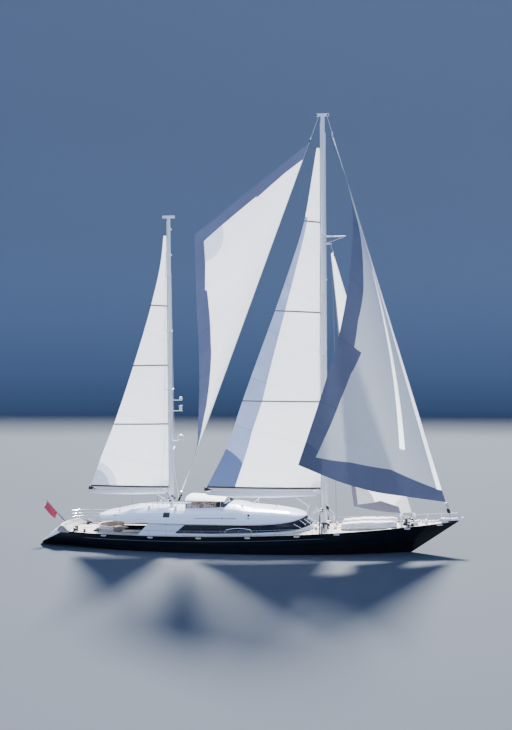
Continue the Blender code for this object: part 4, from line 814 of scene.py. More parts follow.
sailPlan = {
    "mainsail": {
        "luff": mastLuff(mainMast, 3.99, 26.5), "belly": 0.07, "body": "main_boom_set",
        "leech": [(-3.04, -1.6, 4.12), (-1.66, -1.43, 6.94), (-0.7, -1.32, 9.8),
                  (-0.15, -1.23, 11.36), (1.39, -0.9, 15.69), (2.18, -0.7, 18.02),
                  (3.28, -0.36, 21.69), (3.77, -0.19, 24.6), (4.06, -0.07, 26.5)],
        "flat": (7.4, 22.9), "panels": 7.1, "height": 22.5, "tilt": -0.067, "phase": 0.627,
        "battens": [(0.782, 0.792), (0.517, 0.528), (0.256, 0.262)], "glow": 0.72,
        "leechBand": [(0.0, 0.75), (0.17, 0.775), (0.26, 0.738), (0.47, 0.762), (0.8, 0.8),
                      (0.805, 1.0)],
        "bandTint": (0.34, 0.38, 0.48), "webbing": (4.75, 0.2), "footTape": 0.0045,
        "patches": [(4.2, 3.99, 0.55, (0.66, 0.68, 0.72))],
        "darkClew": [(-3.04, 4.12, 2.85, (0.16, 0.2, 0.31))],
        "rays": [(0.4, 0.62), (0.62, 0.78)],
    },
    "mizzen_sail": {
        "luff": mastLuff(mizzenMast, 3.9, 20.9), "belly": 0.07, "body": "mizzen_boom_set",
        "leech": [(-11.08, -1.1, 4.02), (-10.44, -1.04, 5.85), (-9.53, -0.91, 8.21),
                  (-8.25, -0.66, 12.12), (-7.11, -0.35, 16.18), (-6.47, -0.13, 19.26),
                  (-6.32, -0.05, 20.9)],
        "flat": (5.1, 17.4), "panels": 6.0, "height": 17.0, "tilt": -0.05,
        "battens": [(0.721, 0.729), (0.486, 0.488), (0.253, 0.253)], "glow": 0.72,
        "webbing": (4.62, 0.2), "footTape": 0.006,
        "patches": [(-11.08, 4.02, 1.75, (0.62, 0.64, 0.7)),
                    (-11.08, 4.02, 1.25, (0.44, 0.47, 0.55)),
                    (-6.1, 3.9, 0.5, (0.66, 0.68, 0.72))],
        "rays": [(0.45, 0.68)],
    },
    "genoa": {
        "luff": genoaLuff, "belly": 0.09, "body": "hull_set",
        "leech": [(3.19, -3.15, 5.85), (4.72, -3.1, 10.47), (5.7, -2.8, 13.85), (6.41, -2.0, 18.49),
                  (6.5, -1.2, 22.02), (6.3, -0.75, 23.4), (4.88, -0.09, 27.3)],
        "foot": [genoaLuff[0], (9.87, -1.3, 3.76), (8.03, -2.2, 4.12), (6.05, -2.9, 4.72),
                 (3.19, -3.15, 5.85)],
        "flat": (9.5, 25.5), "panels": 5.4, "height": 25.2, "tilt": -0.05, "phase": 0.734,
        "leechBand": [(0.0, 0.93), (0.037, 0.905), (0.136, 0.85), (0.211, 0.812), (0.289, 0.75),
                      (0.358, 0.64), (0.362, 0.625), (0.364, 0.75), (0.446, 0.713), (0.541, 0.575),
                      (0.591, 0.537), (0.661, 0.45), (0.736, 0.362), (1.0, 0.3)],
        "footBand": [(0.0, 0.03), (0.03, 0.032), (0.365, 0.06), (0.66, 0.053), (0.905, 0.037),
                     (1.0, 0.036)],
        # shade 0.82 darkens the genoa's whole cloth: painted shade
        "bandTint": (0.15, 0.165, 0.235), "shade": 0.82, "glow": 0.34, "sunlitGlow": 0.9,
        "rays": [(0.3, 0.06), (0.5, 0.3), (0.7, 0.55)],
        # painted sunlight: a strip across the body and one along the luff, lit where the sun falls
        # between other sails' shadows
        "sunlitStrips": [(0.285, -0.02, 0.022, 0.12, 0.62), (0.0, 0.0, 0.035, 0.03, 0.99)],
        "sunlitTint": (0.88, 0.88, 0.9),
        "darkClew": [(3.19, 5.85, 1.5, (0.11, 0.13, 0.2))],
    },
    "staysail": {
        "luff": staysailLuff, "belly": 0.06, "body": "hull_set",
        "leech": [(6.62, -1.65, 3.12), (6.3, -1.5, 5.5), (5.9, -1.1, 10.0), (5.4, -0.5, 15.5),
                  (5.0, -0.05, 19.5)],
        "foot": [staysailLuff[0], (9.4, -0.5, 2.6), (8.1, -1.15, 2.79), (6.62, -1.65, 3.12)],
        "flat": (4.1, 17.8), "panels": 6.0, "height": 17.6, "tilt": -0.03, "glow": 0.85,
        "footBand": [(0.0, 0.0), (0.2, 0.0), (0.205, 0.022), (0.505, 0.038), (0.76, 0.021),
                     (0.95, 0.008), (1.0, 0.006)],
        "leechBand": [(0.0, 0.93), (0.06, 0.92), (0.5, 0.94), (1.0, 0.9)],
        "bandTint": (0.22, 0.22, 0.26),
        "patches": [(6.62, 3.12, 1.3, (0.42, 0.43, 0.44)),
                    (staysailLuff[0][0], staysailLuff[0][2], 1.2, (0.66, 0.65, 0.67))],
        "rays": [(0.5, 0.5)],
    },
    "mizzen_staysail": {
        "luff": muleLuff, "belly": 0.08, "body": "hull_set",
        "leech": [(muleLuff[0][0] - 0.03, -0.2, 3.76), (-3.94, -0.35, 6.82), (-3.83, -0.55, 8.1),
                  (-3.65, -1.1, 12.84), (-3.77, -1.3, 15.94), (-3.85, -1.6, 20.73)],
        "flat": (9.6, 24.7), "panels": 6.0, "height": 24.6, "tilt": -0.03,
        "leechBand": [(0.0, 0.9), (0.12, 0.8), (0.211, 0.65), (0.298, 0.6), (0.508, 0.725),
                      (0.54, 0.755),
                      (0.753, 0.86), (0.757, 0.885), (0.851, 0.89), (0.946, 0.912), (1.0, 0.92)],
        "headBand": [(0.0, 0.955), (0.165, 0.955), (0.415, 0.945), (0.42, 0.952), (0.755, 0.95),
                     (1.0, 0.945)],
        "bandTint": (0.165, 0.185, 0.265), "glow": 0.68, "rays": [(0.45, 0.2), (0.5, 0.7)],
        "patches": [(-3.85, 20.73, 1.9, (0.62, 0.65, 0.73))],
    },
}


def makeSails():
    rows, columns = 89, 37
    v, u = mesh2(np.linspace(0, 1, rows), np.linspace(0, 1, columns))
    uv = np.tile(np.stack([u, v], axis=-1).reshape(-1, 2), (2, 1))
    for name, plan in sailPlan.items():
        grid = sailGrid(plan["luff"], plan["leech"], plan["belly"], rows, columns, plan.get("foot"))
        first, *rest = name.split("_")
        title = first + "".join(w.capitalize() for w in rest) + "Cloth"
        sail = piece(title, [plate(grid, rigPlan["sailThick"])], sailcloth(title, plan),
                     plan["body"], 60, uv, merge=False)
        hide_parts(name)
        area = clothArea(grid, plan["flat"])
        print(title, "area", round(area, 1))


# Booms, stays and wires

boomPlan = {
    "mainBoom": {"body": "main_boom_set", "clew": (-3.04, -1.6, 4.12)},
    "mizzenBoom": {"body": "mizzen_boom_set", "clew": (-11.08, -1.1, 4.02)},
    "gooseneck": 0.14, "tracks": (-0.058, 0.058),
    "slot": barProfile(0.04, 0.034, -0.012, 0.01),
    "sheave": [(0.03, -0.05), (0.075, -0.045), (0.085, 0.0), (0.075, 0.045), (0.03, 0.05)],
}


def boomPoint(which, share, across, up):
    # a place on a boom: share of its length, metres across it, metres over its top
    plan = rigPlan[which]
    point, axis = luffAxis(mainMast if which == "mainBoom" else mizzenMast, plan["z"])
    start = boomPlan["gooseneck"]
    x = point[0] - start - (plan["length"] - start) * np.asarray(share, float)
    flat = spots(x, across, plan["z"] + plan["depths"][0] / 2 + up)
    return turned(flat, point, axis, plan["ease"])


def boomGear(which):
    # the dark slot of the furling boom, its sail tracks and clew block
    body = boomPlan[which]["body"]
    share = np.linspace(0.05, 0.96, 24)
    piece(which + "Slot", [sweep(boomPoint(which, share, 0.0, 0.004), boomPlan["slot"])],
          gearBlack, body)
    tracks = [tube(boomPoint(which, share, y, -0.012), 0.011, 6) for y in boomPlan["tracks"]]
    piece(which + "Tracks", tracks, steel, body)
    clew = np.asarray(boomPlan[which]["clew"], float)
    s, v = mesh2(np.linspace(0, 1, 5), np.linspace(0, 1, 5))
    wedge = spots(clew[0] - 0.14 + 0.6 * s, clew[1] - 0.02, clew[2] - 0.16 + (0.22 - 0.2 * s) * v)
    piece(which + "ClewBlock", [
        lathe(boomPlan["sheave"], clew + (-0.06, 0, -0.12), acrossBoat, 16),
        tube([clew + (-0.05, 0, 0.03), clew + (-0.06, 0, -0.08)], 0.02),
        roundBox(clew + (-0.16, -0.03, -0.2), clew + (0.12, 0.03, -0.15), 0.02),
        plate(wedge, 0.03)], gearBlack, body)


wirePlan = {
    "main": {"mast": mainMast, "plate": (4.3, 2.5, 1.4), "aft": [(4.5, 2.52, 1.42)]},
    "mizzen": {"mast": mizzenMast, "plate": (-5.75, 2.02, 2.33), "aft": []},
    "underSpreader": 0.12, "underHead": 1.3, "rod": 0.007, "lower": 0.009,
    "halyard": [(5.43, -0.9, 1.5), (5.11, -0.2, 17.76), (4.95, -0.06, 20.6)],
}


def diagonalShrouds():
    # diagonal and lower shrouds: from each spreader's tip to the mast under the next spreader
    for title in ("main", "mizzen"):
        plan = wirePlan[title]
        mast = plan["mast"]
        spreaders = rigPlan[title + "Spreaders"]
        heights = [z - wirePlan["underSpreader"] for z, _ in spreaders]
        heights.append(mast[1][1] - wirePlan["underHead"])
        roots = [np.array([mastX(mast, z), mastRadius(mast, z) * 0.9, z]) for z in heights]
        parts = []
        for (z, length), root in zip(spreaders, roots[1:]):
            tip = np.array([mastX(mast, z) - 0.09 * length, length - 0.03, z + 0.06 * length])
            parts.append(tube([tip + (0, 0, 0.02), root], wirePlan["rod"], 6))
        foot = np.array(plan["plate"]) + (0.12, -0.05, 0)
        parts.append(tube([foot, roots[0]], wirePlan["lower"], 6))
        parts += [tube([foot, roots[0] - (0, 0, 0.1)], 0.011, 6) for foot in plan["aft"]]
        piece(title + "DiagonalShrouds", bothSides(parts), rodSteel)
    piece("staysailHalyard", [tube(smoothPath(wirePlan["halyard"], 16), 0.014, 6)], railSteel)


furlerPlan = {
    # stay, height, length and radius
    "places": [("genoaStay", 27.35, 0.36, 0.045), ("staysailStay", 19.5, 0.3, 0.04),
               ("staysailStay", 2.25, 0.24, 0.065), ("muleStay", 27.05, 0.3, 0.04),
               ("muleStay", 3.5, 0.36, 0.1)],
    "strut": ((4.62, -0.04, 20.6), (5.98, 0.04, 20.68)), "brace": [(4.7, 0, 20.2), (5.9, 0, 20.62)],
}


def furlers():
    # swivels and drums on the three stays, and the strut that holds the inner one off the mast
    dark = []
    pale = []
    for stay, z, tall, wide in furlerPlan["places"]:
        line = rigPlan[stay]
        at = (onStay(line, z), stayWay(line), 18)
        half, quarter, neck = tall / 2, tall / 4, wide * 0.6
        dark.append(lathe([(wide * 0.55, -half), (wide, 0.02 - half), (wide, -quarter),
                           (neck, 0.02 - quarter), (neck, 0.0)], *at))
        pale.append(lathe([(wide * 0.62, 0.003), (wide * 0.62, quarter),
                           (wide * 1.02, quarter + 0.02), (wide * 1.02, half - 0.02),
                           (wide * 0.5, half)], *at))
    piece("furlerDrums", dark, gearBlack)
    piece("furlerSwivels", pale, steel)
    strut = [roundBox(*furlerPlan["strut"], 0.015), tube(furlerPlan["brace"], 0.012)]
    piece("jumperStrut", strut, sparWhite)


mastheadPlan = {
    "sheaves": ((4.06, 28.69), (4.78, 28.68)),
    "sheave": [(0.02, -0.09), (0.055, -0.085), (0.045, 0.0), (0.055, 0.085), (0.02, 0.09)],
    "lamps": ((mizzenMast, 21.33), (mizzenMast, 19.6), (mainMast, 17.8), (mainMast, 9.9)),
    "lamp": [(0.02, -0.06), (0.05, -0.05), (0.05, 0.03), (0.025, 0.05)],
}


def masthead():
    # crane sheaves on the main masthead, and lamps on brackets down both masts
    parts = []
    for mast, z in mastheadPlan["lamps"]:
        x = mastX(mast, z) + mastRadius(mast, z)
        parts.append(lathe(mastheadPlan["lamp"], (x + 0.05, 0, z)))
        parts.append(roundBox((x - 0.02, -0.025, z - 0.02), (x + 0.05, 0.025, z + 0.01), 0.005))
    piece("mastLamps", parts, sparWhite)
    piece("mastheadSheaves", [lathe(mastheadPlan["sheave"], (x, 0, z - 0.03), acrossBoat, 14)
                              for x, z in mastheadPlan["sheaves"]], gearBlack)


halyardPlan = {
    "main": ((-0.13, 0.02), (-0.05, 0.035), (0.07, 0.02), (0.14, 0.035)),
    "mainZ": (2.5, 4.5, 8.0, 14.0, 22.0, 27.5), "mizzen": (-0.08, 0.08), "mizzenZ": (3.4, 5.8),
    "tracks": ((mainMast, 4.05, 28.2), (mizzenMast, 4.0, 21.9)),
    "track": barProfile(0.02, 0.02, -0.014, 0.012),
}


def halyards():
    # hoisting lines led down the masts' fore sides, drawn in with height, and the masts' tracks
    def down(mast, y, heights, lean, drawn):
        return [(mastX(mast, z) + mastRadius(mast, z) + lean, y * (1 - z / drawn), z)
                for z in heights]

    plan = halyardPlan
    lines = [tube(smoothPath(down(mainMast, y, plan["mainZ"], lean, 60), 24), 0.009, 6)
             for y, lean in plan["main"]]
    lines += [tube(down(mizzenMast, y, plan["mizzenZ"], 0.012, 50), 0.008, 6) for y in plan["mizzen"]]
    piece("halyardLines", lines, ropePale)
    tracks = []
    for mast, low, high in plan["tracks"]:
        z = np.linspace(low, high, 30)
        path = spots(mastX(mast, z) - mastRadius(mast, z) - 0.012, 0, z)
        tracks.append(sweep(path, plan["track"], acrossBoat))
    piece("mastTracks", tracks, rodSteel)


winchStops = [(0.09, 0.0), (0.105, 0.012), (0.1, 0.035), (0.072, 0.05), (0.062, 0.09), (0.066, 0.13),
              (0.09, 0.15), (0.09, 0.168), (0.07, 0.172), (0.07, 0.184), (0.03, 0.19)]


def winches(places, ground, lift):
    # winch drums scaled at (x, y, size): base ring, waisted barrel, jaws and cap
    return [lathe(np.array(winchStops) * size, (x, y, ground(x, abs(y)) + lift), sides=22)
            for x, y, size in places]


# Hull and deck fittings

deckPlan = {
    "halfBeam": [(0, 1.72), (0.1, 2.25), (0.2, 2.55), (0.35, 2.8), (0.5, 2.87), (0.62, 2.8),
                 (0.72, 2.6), (0.8, 2.28), (0.87, 1.82), (0.93, 1.22), (0.97, 0.66), (1, 0.06)],
    "stern": -14.8, "stem": 10.25, "camber": 0.17, "margin": 0.082,
}


def sheerZ(x):
    # the deck edge's height, a parabola in x from its lowest place
    low, z = hullPlan["sheerLow"]
    return z + hullPlan["sheerCurve"] * (np.asarray(x, float) - low) ** 2


def edgeLine():
    # x and half width of the deck edge along the boat, as the hull's own formula gives them
    u = np.linspace(0, 1, 400)
    half = curveValue(deckPlan["halfBeam"], u)
    z = np.full_like(u, 1.3)
    for _ in range(5):
        x = deckPlan["stern"] + (deckPlan["stem"] - deckPlan["stern"]) * u
        x = x + (1 - u) ** 3 * (1.14 * (z - 0.1) + 0.1 * half**2) + u**3 * 1.46 * z
        z = sheerZ(x)
    return x, half


edgeX, edgeHalf = edgeLine()


def edgeY(x):
    return np.interp(x, edgeX, edgeHalf)


def deckZ(x, y):
    # the cambered deck's top between its margins: a parabola across the boat
    half = edgeY(x) - deckPlan["margin"]
    rise = deckPlan["camber"] * half / 2.8
    return sheerZ(x) - 0.09 + rise * (1 - (np.asarray(y) / half) ** 2) + 0.02


def capRails():
    # a thin pale cap on each bulwark's top
    x = np.linspace(-11.9, 12.1, 90)
    flat = [(-0.036, -0.003), (0.036, -0.003), (0.042, 0.004), (0.03, 0.011), (-0.03, 0.011),
            (-0.042, 0.004)]
    path = spots(x, edgeY(x) - 0.033, sheerZ(x) + 0.004)
    piece("capRails", bothSides([sweep(path, flat)]), teakTrim)


fairleadPlan = {"places": (-9.78, -6.55, -3.32, -0.12, 3.04, 5.56, 10.0, 12.05), "drop": 0.095,
                "ring": (0.17, 0.03, 0.015), "throat": (0.16, 0.022)}


def fairleads():
    # oval chrome rings in the topsides, ellipses with squared ends, painted white as a highlight, and
    # dark plates in their throats: painted shade of the openings
    parts = []
    throatShades = []
    turn = turns(28)
    long, tall, thick = fairleadPlan["ring"]
    for x in fairleadPlan["places"]:
        z = sheerZ(x) - fairleadPlan["drop"]
        px = x + long * squared(np.cos(turn), 0.7)
        path = spots(px, edgeY(px) + 0.004, z + tall * np.sin(turn))
        parts.append(sweep(path, roundProfile(thick), acrossBoat, closed=True))
        wide, high = fairleadPlan["throat"]
        gx, gz = mesh2(x + wide * np.linspace(-1, 1, 7), z + high * np.linspace(-1, 1, 3))
        throatShades.append(plate(spots(gx, edgeY(gx) + 0.001, gz), 0.008))
    piece("fairleadRings", bothSides(parts), ringPaintedHighlight)
    piece("fairleadThroatShades", bothSides(throatShades), gearBlack)


sternPlan = {
    "ring": [(0.05, -0.02), (0.09, -0.015), (0.1, 0.01), (0.085, 0.03), (0.06, 0.03), (0.05, 0.0)],
    "railX": np.array([-10.3, -11.2, -12.0, -12.6, -13.0, -13.2]),
    "railY": np.array([2.22, 2.14, 2.0, 1.84, 1.56, 1.1]),
    "rails": ((2.02, 0.016), (1.8, 0.008), (1.6, 0.008)), "posts": (0, 1, 2, 3, 5),
    "winches": ((-12.0, 1.3, 1.7), (-12.0, 1.72, 1.4), (-11.3, 1.75, 1.2)),
}


def sternFittings():
    # fairleads in the transom, the stern rail on its posts, and winches aft
    plan = sternPlan
    points, faces = lathe(plan["ring"], (-13.42, -1.28, 1.0), (-0.75, -0.3, 0.6), 20)
    piece("transomFairleads", [(points, faces), (points * (1, -1, 1), faces)], gearBlack)
    xs, ys = plan["railX"], plan["railY"]
    rails = [tube(smoothPath(spots(xs, ys, z), 24), r) for z, r in plan["rails"]]
    for k in plan["posts"]:
        foot = 1.16 if xs[k] > -12.3 else 1.3
        rails.append(tube([(xs[k], ys[k], foot), (xs[k], ys[k], 2.03)], 0.012))
    piece("sternRail", bothSides(rails), chrome)
    piece("sternWinches", bothSides(winches(plan["winches"], deckZ, -0.003)), gearBlack)


cleatPlan = {"places": (-12.1, -4.6, 1.2, 8.9, 11.4), "radius": 0.014, "feet": (-0.045, 0.045),
             "horn": [(-0.15, 0.075), (-0.07, 0.062), (0, 0.06), (0.07, 0.062), (0.15, 0.075)]}


def cleats():
    # horn cleats on the deck edge, thinner at both ends
    parts = []
    thin = np.interp(np.linspace(0, 1, 13), (0, 0.2, 0.8, 1), (0.6, 1, 1, 0.6))
    r = cleatPlan["radius"]
    for x in cleatPlan["places"]:
        y = edgeY(x) - 0.2
        z = deckZ(x, y)
        parts += [tube([(x + s, y, z - 0.01), (x + s, y, z + 0.06)], r) for s in cleatPlan["feet"]]
        horn = [(x + s, y, z + up) for s, up in cleatPlan["horn"]]
        parts.append(tube(smoothPath(horn, 13), r, 8, sizes=thin))
    piece("deckCleats", bothSides(parts), chrome)


guardPlan = {
    "ends": (-11.4, 10.0), "spacing": 1.13, "heights": (0.13, 0.25), "inside": 0.035,
    "foot": [(0.03, 0.0), (0.03, 0.012), (0.017, 0.018), (0.017, 0.05), (0.014, 0.06)],
    "gate": [(-1.6, 1.2), (-1.57, 1.42), (-1.5, 1.53), (-1.35, 1.57), (-0.1, 1.6), (0.08, 1.56),
             (0.13, 1.45), (0.15, 1.24)],
}


def guardWires():
    # two wires through the stanchions, stanchion feet and the raised boarding gate
    plan = guardPlan
    aft, fore = plan["ends"]
    x = np.linspace(aft, fore, 60)
    lines = [tube(spots(x, edgeY(x) - plan["inside"], sheerZ(x) + up), 0.003, 6)
             for up in plan["heights"]]
    parts = [lathe(plan["foot"], (px, edgeY(px) - plan["inside"], sheerZ(px) + 0.008), sides=12)
             for px in np.linspace(aft, fore, int((fore - aft) / plan["spacing"]) + 1)]
    gate = [(gx, edgeY(gx) - 0.06, gz + 0.04) for gx, gz in plan["gate"]]
    parts.append(tube(smoothPath(gate, 36), 0.016))
    piece("guardFittings", bothSides(parts), chrome)
    piece("guardWires", bothSides(lines), rodSteel)


bootPlan = ((4.5, 2.52, 1.42, 1.22), (4.62, 2.42, 1.42, 0.5))


def shroudBoots():
    # dark boots over the rigging screws where the cap shrouds reach the deck, with their plates
    boots = []
    plates = []
    for x, y, z, tall in bootPlan:
        foot = np.array([x, y, z])
        head = foot + (0, -0.02 * tall, tall)
        boots.append(tube([foot, foot + (head - foot) * 0.5, head], 0.038, 10, sizes=(1, 1, 0.6)))
        plates.append(roundBox(foot - (0.06, 0.015, 0.12), foot + (0.06, 0.015, 0.06), 0.01))
    piece("shroudBoots", bothSides(boots), gearBlack)
    piece("chainPlates", bothSides(plates), chrome)


mastFootPlan = {
    "winches": ((5.35, -0.75, 1.2), (5.35, 0.75, 1.2), (4.75, -1.05, 1.1), (4.75, 1.05, 1.1),
                (4.1, -0.85, 1.0), (4.1, 0.85, 1.0)),
    "boxes": [((4.28, -0.27, 2.5), (4.5, -0.17, 2.7)), ((4.72, -0.22, 2.68), (4.86, -0.1, 2.92)),
              ((4.72, 0.1, 2.55), (4.86, 0.22, 2.8))],
    "collar": [(0.3, 0.0), (0.33, 0.015), (0.3, 0.05), (0.24, 0.09), (0.2, 0.12)],
    "rail": [(3.78, 2.4), (3.95, 2.52), (4.9, 2.52), (5.07, 2.4)], "railY": 0.62,
    "poles": ((3.25, 3.56, -0.62, 2.9), (3.62, 4.02, -0.7, 2.74), (3.82, 4.12, -0.5, 2.58)),
}


def mastFoot():
    # winches, boxes on the mast, line bins, collar, guard rail and leaning poles at the main mast
    plan = mastFootPlan
    piece("mastWinches", winches(plan["winches"], deckZ, 0.001), chrome)
    piece("mastGearBoxes", [roundBox(*box, 0.02) for box in plan["boxes"]], gearBlack)
    z = deckZ(4.7, 0.45)
    bins = [roundBox((4.42, -0.62, 1.72), (4.97, -0.3, 1.84), 0.02)]
    bins += [roundBox((x, -0.56, z - 0.01), (x + 0.1, -0.36, 1.73), 0.01) for x in (4.5, 4.8)]
    piece("halyardBins", bothSides(bins), gearBlack)
    foot = (4.575, 0, deckZ(4.575, 0) - 0.01)
    piece("mastCollar", [lathe(plan["collar"], foot, sides=28)], whiteTrim)
    rail = []
    base = deckZ(4.4, plan["railY"])
    for y in (-plan["railY"], plan["railY"]):
        path = [(3.75, y, base), *[(x, y, z) for x, z in plan["rail"]], (5.1, y, base)]
        rail += [tube(smoothPath(path, 30), 0.016), tube([(4.42, y, base), (4.42, y, 2.52)], 0.013)]
    piece("mastGuardRail", rail, chrome)
    # the poles end below the sweep of the boom's vang
    poles = [tube([(low, y, max(2.2, deckZ(low, abs(y)))), (high, y, top)], 0.014)
             for low, high, y, top in plan["poles"]]
    piece("mastPoles", bothSides(poles), sparWhite)


mizzenFootPlan = {
    "winches": ((250, 3.05), (290, 3.35), (70, 3.05), (110, 3.35), (200, 3.2), (340, 3.2)),
    "drum": [(0.07, 0.0), (0.075, 0.02), (0.05, 0.05), (0.05, 0.1), (0.07, 0.12), (0.03, 0.14)],
    "coils": ((265, 2.95), (20, 3.15), (95, 2.95)), "coilSize": (0.07, 0.15),
    "poles": ((-6.71, -1.5, 3.03), (-6.42, -1.3, 3.5), (-6.06, -1.3, 3.2)),
}


def mizzenFoot():
    # winches round the mizzen mast's foot, coiled halyards as hanging ellipses, poles on the roof
    plan = mizzenFootPlan
    x = mastX(mizzenMast, 3.2)

    def outward(degrees):
        return np.array([math.cos(math.radians(degrees)), math.sin(math.radians(degrees)), 0.0])

    drums = [lathe(plan["drum"], np.array([x, 0, z]) + outward(a) * 0.14, outward(a), 16)
             for a, z in plan["winches"]]
    piece("mizzenWinches", drums, gearBlack)
    coils = []
    ring = turns(16)[:, None]
    wide, tall = plan["coilSize"]
    for degrees, z in plan["coils"]:
        way = outward(degrees)
        side = np.array([-way[1], way[0], 0.0])
        loop = np.array([x, 0, z]) + way * 0.2 + wide * np.cos(ring) * side
        coils.append(tube(loop + tall * np.sin(ring) * upright, 0.022, 6, closed=True))
        top = np.array([x, 0, z + 0.15])
        coils.append(tube([top, top + way * 0.2], 0.016, 6))
    piece("mizzenCoils", coils, ropeDark)
    poles = [tube([(px, py, roofTop(px, abs(py)) - 0.02), (px, py, top)], 0.014)
             for px, py, top in plan["poles"]]
    piece("roofPoles", bothSides(poles), railSteel)


anchorWinchPlan = {
    "drum": [(0.05, -0.15), (0.12, -0.14), (0.08, -0.04), (0.08, 0.04), (0.12, 0.14), (0.05, 0.15)],
    "gypsy": [(0.13, 0.08), (0.15, 0.1), (0.09, 0.14), (0.09, 0.24), (0.13, 0.27), (0.05, 0.29)],
    "cap": [(0.05, -0.2), (0.07, -0.19), (0.07, -0.16), (0.05, -0.15)],
    "sides": (-1.0, 1.0), "cowls": ((9.61, -0.4, 2.45, 0.13), (10.42, -0.4, 2.47, 0.13)),
}


def foredeckGear():
    # an anchor winch on either side and white ventilator cowls round the inner stay
    plan = anchorWinchPlan
    dark = []
    caps = []
    z = deckZ(10.17, 1.0)
    for y in plan["sides"]:
        dark.append(roundBox((9.93, y - 0.16, z - 0.01), (10.42, y + 0.16, z + 0.1), 0.03))
        dark.append(lathe(plan["drum"], (10.06, y, z + 0.2), acrossBoat, 18))
        dark.append(lathe(plan["gypsy"], (10.32, y, z), sides=18))
        caps.append(lathe(plan["cap"], (10.06, y, z + 0.2), acrossBoat, 16))
    piece("anchorWinches", dark, gearBlack)
    piece("anchorWinchCaps", caps, chrome)
    cowls = []
    for x, y, top, wide in plan["cowls"]:
        z = deckZ(x, abs(y))
        tall = top - z
        cowls.append(lathe([(0.06, 0.0), (0.05, 0.02), (0.05, tall - 0.2), (0.1, tall - 0.14),
                            (wide, tall - 0.06), (0.09, tall)], (x, y, z), sides=18))
    piece("ventilators", bothSides(cowls), whiteTrim)


bowPlan = {
    "shank": [(12.3, 0.0, 2.3), (12.9, 0.0, 2.33), (13.25, 0.0, 2.36), (13.42, 0.0, 2.33)],
    "roller": [(0.02, -0.07), (0.06, -0.065), (0.035, 0.0), (0.06, 0.065), (0.02, 0.07)],
    "chain": (10.2, 12.3, 0.05), "chainLine": ((10.2, 11.9, 12.3), (2.02, 2.08, 2.28)),
    "link": (0.034, 0.018, 0.007),
    # place, size and height
    "boxes": ((10.75, 0.42, 0.3, 0.18, 0.2), (10.6, -0.45, 0.22, 0.16, 0.26),
              (11.3, 0.3, 0.26, 0.12, 0.12), (11.2, -0.3, 0.16, 0.1, 0.3)),
    "bitt": [(0.05, 0.0), (0.035, 0.02), (0.035, 0.14), (0.05, 0.155), (0.04, 0.175)],
    "bitts": [(x, y) for y in (-0.72, 0.72) for x in (11.5, 11.68)],
    "hatches": ((7.5, 0.0, 0.6, 0.5), (9.4, 0.0, 0.45, 0.45), (10.9, 0.0, 0.5, 0.4),
                (6.2, 0.0, 0.5, 0.5)),
    "hatchEdge": 0.045,
}


def deckBox(x, y, long, wide, low, high, edge):
    # a rounded box round a place on the deck, between two heights over it
    z = deckZ(x, abs(y))
    return roundBox((x - long / 2, y - wide / 2, z + low),
                    (x + long / 2, y + wide / 2, z + high), edge)


def bowGear():
    # anchor in its roller, chain of links turned by quarters, boxes, bitts and hatches
    plan = bowPlan
    shank = sweep(smoothPath(plan["shank"], 16), barProfile(0.02, 0.02, -0.035, 0.035))
    v, u = mesh2(np.linspace(0, 1, 9), np.linspace(-1, 1, 9))
    fluke = spots(13.22 + 0.3 * v, 0.13 * u * (1 - 0.75 * v), 2.31 - 0.1 * v + 0.06 * u**2)
    piece("bowAnchor", [shank, plate(fluke, 0.018)], chrome)
    piece("anchorRoller", [lathe(plan["roller"], (13.4, 0, 2.3), acrossBoat, 16)], gearBlack)
    links = []
    long, wide, thick = plan["link"]
    turn = turns(10)
    for k, x in enumerate(np.arange(*plan["chain"])):
        flat = spots(x + long * np.cos(turn), wide * np.sin(turn), 0)
        if k % 2:
            flat = flat[:, [0, 2, 1]]
        flat = flat + (0, 0, np.interp(x, *plan["chainLine"]))
        up = acrossBoat if k % 2 else upright
        links.append(sweep(flat, roundProfile(thick, 5), up, closed=True))
    piece("anchorChain", links, rodSteel)
    boxes = [deckBox(x, y, long, wide, -0.01, tall, 0.03) for x, y, long, wide, tall in plan["boxes"]]
    piece("foredeckBoxes", boxes, whiteTrim)
    z = deckZ(11.6, 0.6)
    piece("foredeckBitts", [lathe(plan["bitt"], (x, y * 0.8, z), sides=14) for x, y in plan["bitts"]],
          chrome)
    rim = 2 * plan["hatchEdge"]
    frames = [deckBox(*hatch, -0.01, 0.035, 0.03) for hatch in plan["hatches"]]
    piece("hatchFrames", frames, whiteTrim)
    piece("hatchGlass", [deckBox(x, y, long - rim, wide - rim, 0, 0.042, 0.02)
                         for x, y, long, wide in plan["hatches"]], glassDark)


# Tenders under their covers

tenderPlan = {
    # x, half width and top
    "stops": [(5.7, 0.2, 1.66), (5.78, 0.36, 1.86), (6.0, 0.45, 1.95), (6.6, 0.5, 2.02),
              (7.3, 0.5, 2.09), (8.0, 0.48, 2.1), (8.6, 0.41, 2.12), (9.1, 0.27, 2.12),
              (9.35, 0.12, 2.08)],
    "centre": 0.88, "skin": 0.006, "flat": (3.95, 1.75),
    "ridge": (0.012, 0.62), "droop": (0.012, 0.3),
    "depth": 0.34, "laces": (6.0, 0.48, 7), "lace": barProfile(0.012, 0.012, -0.0015, 0.0015),
}


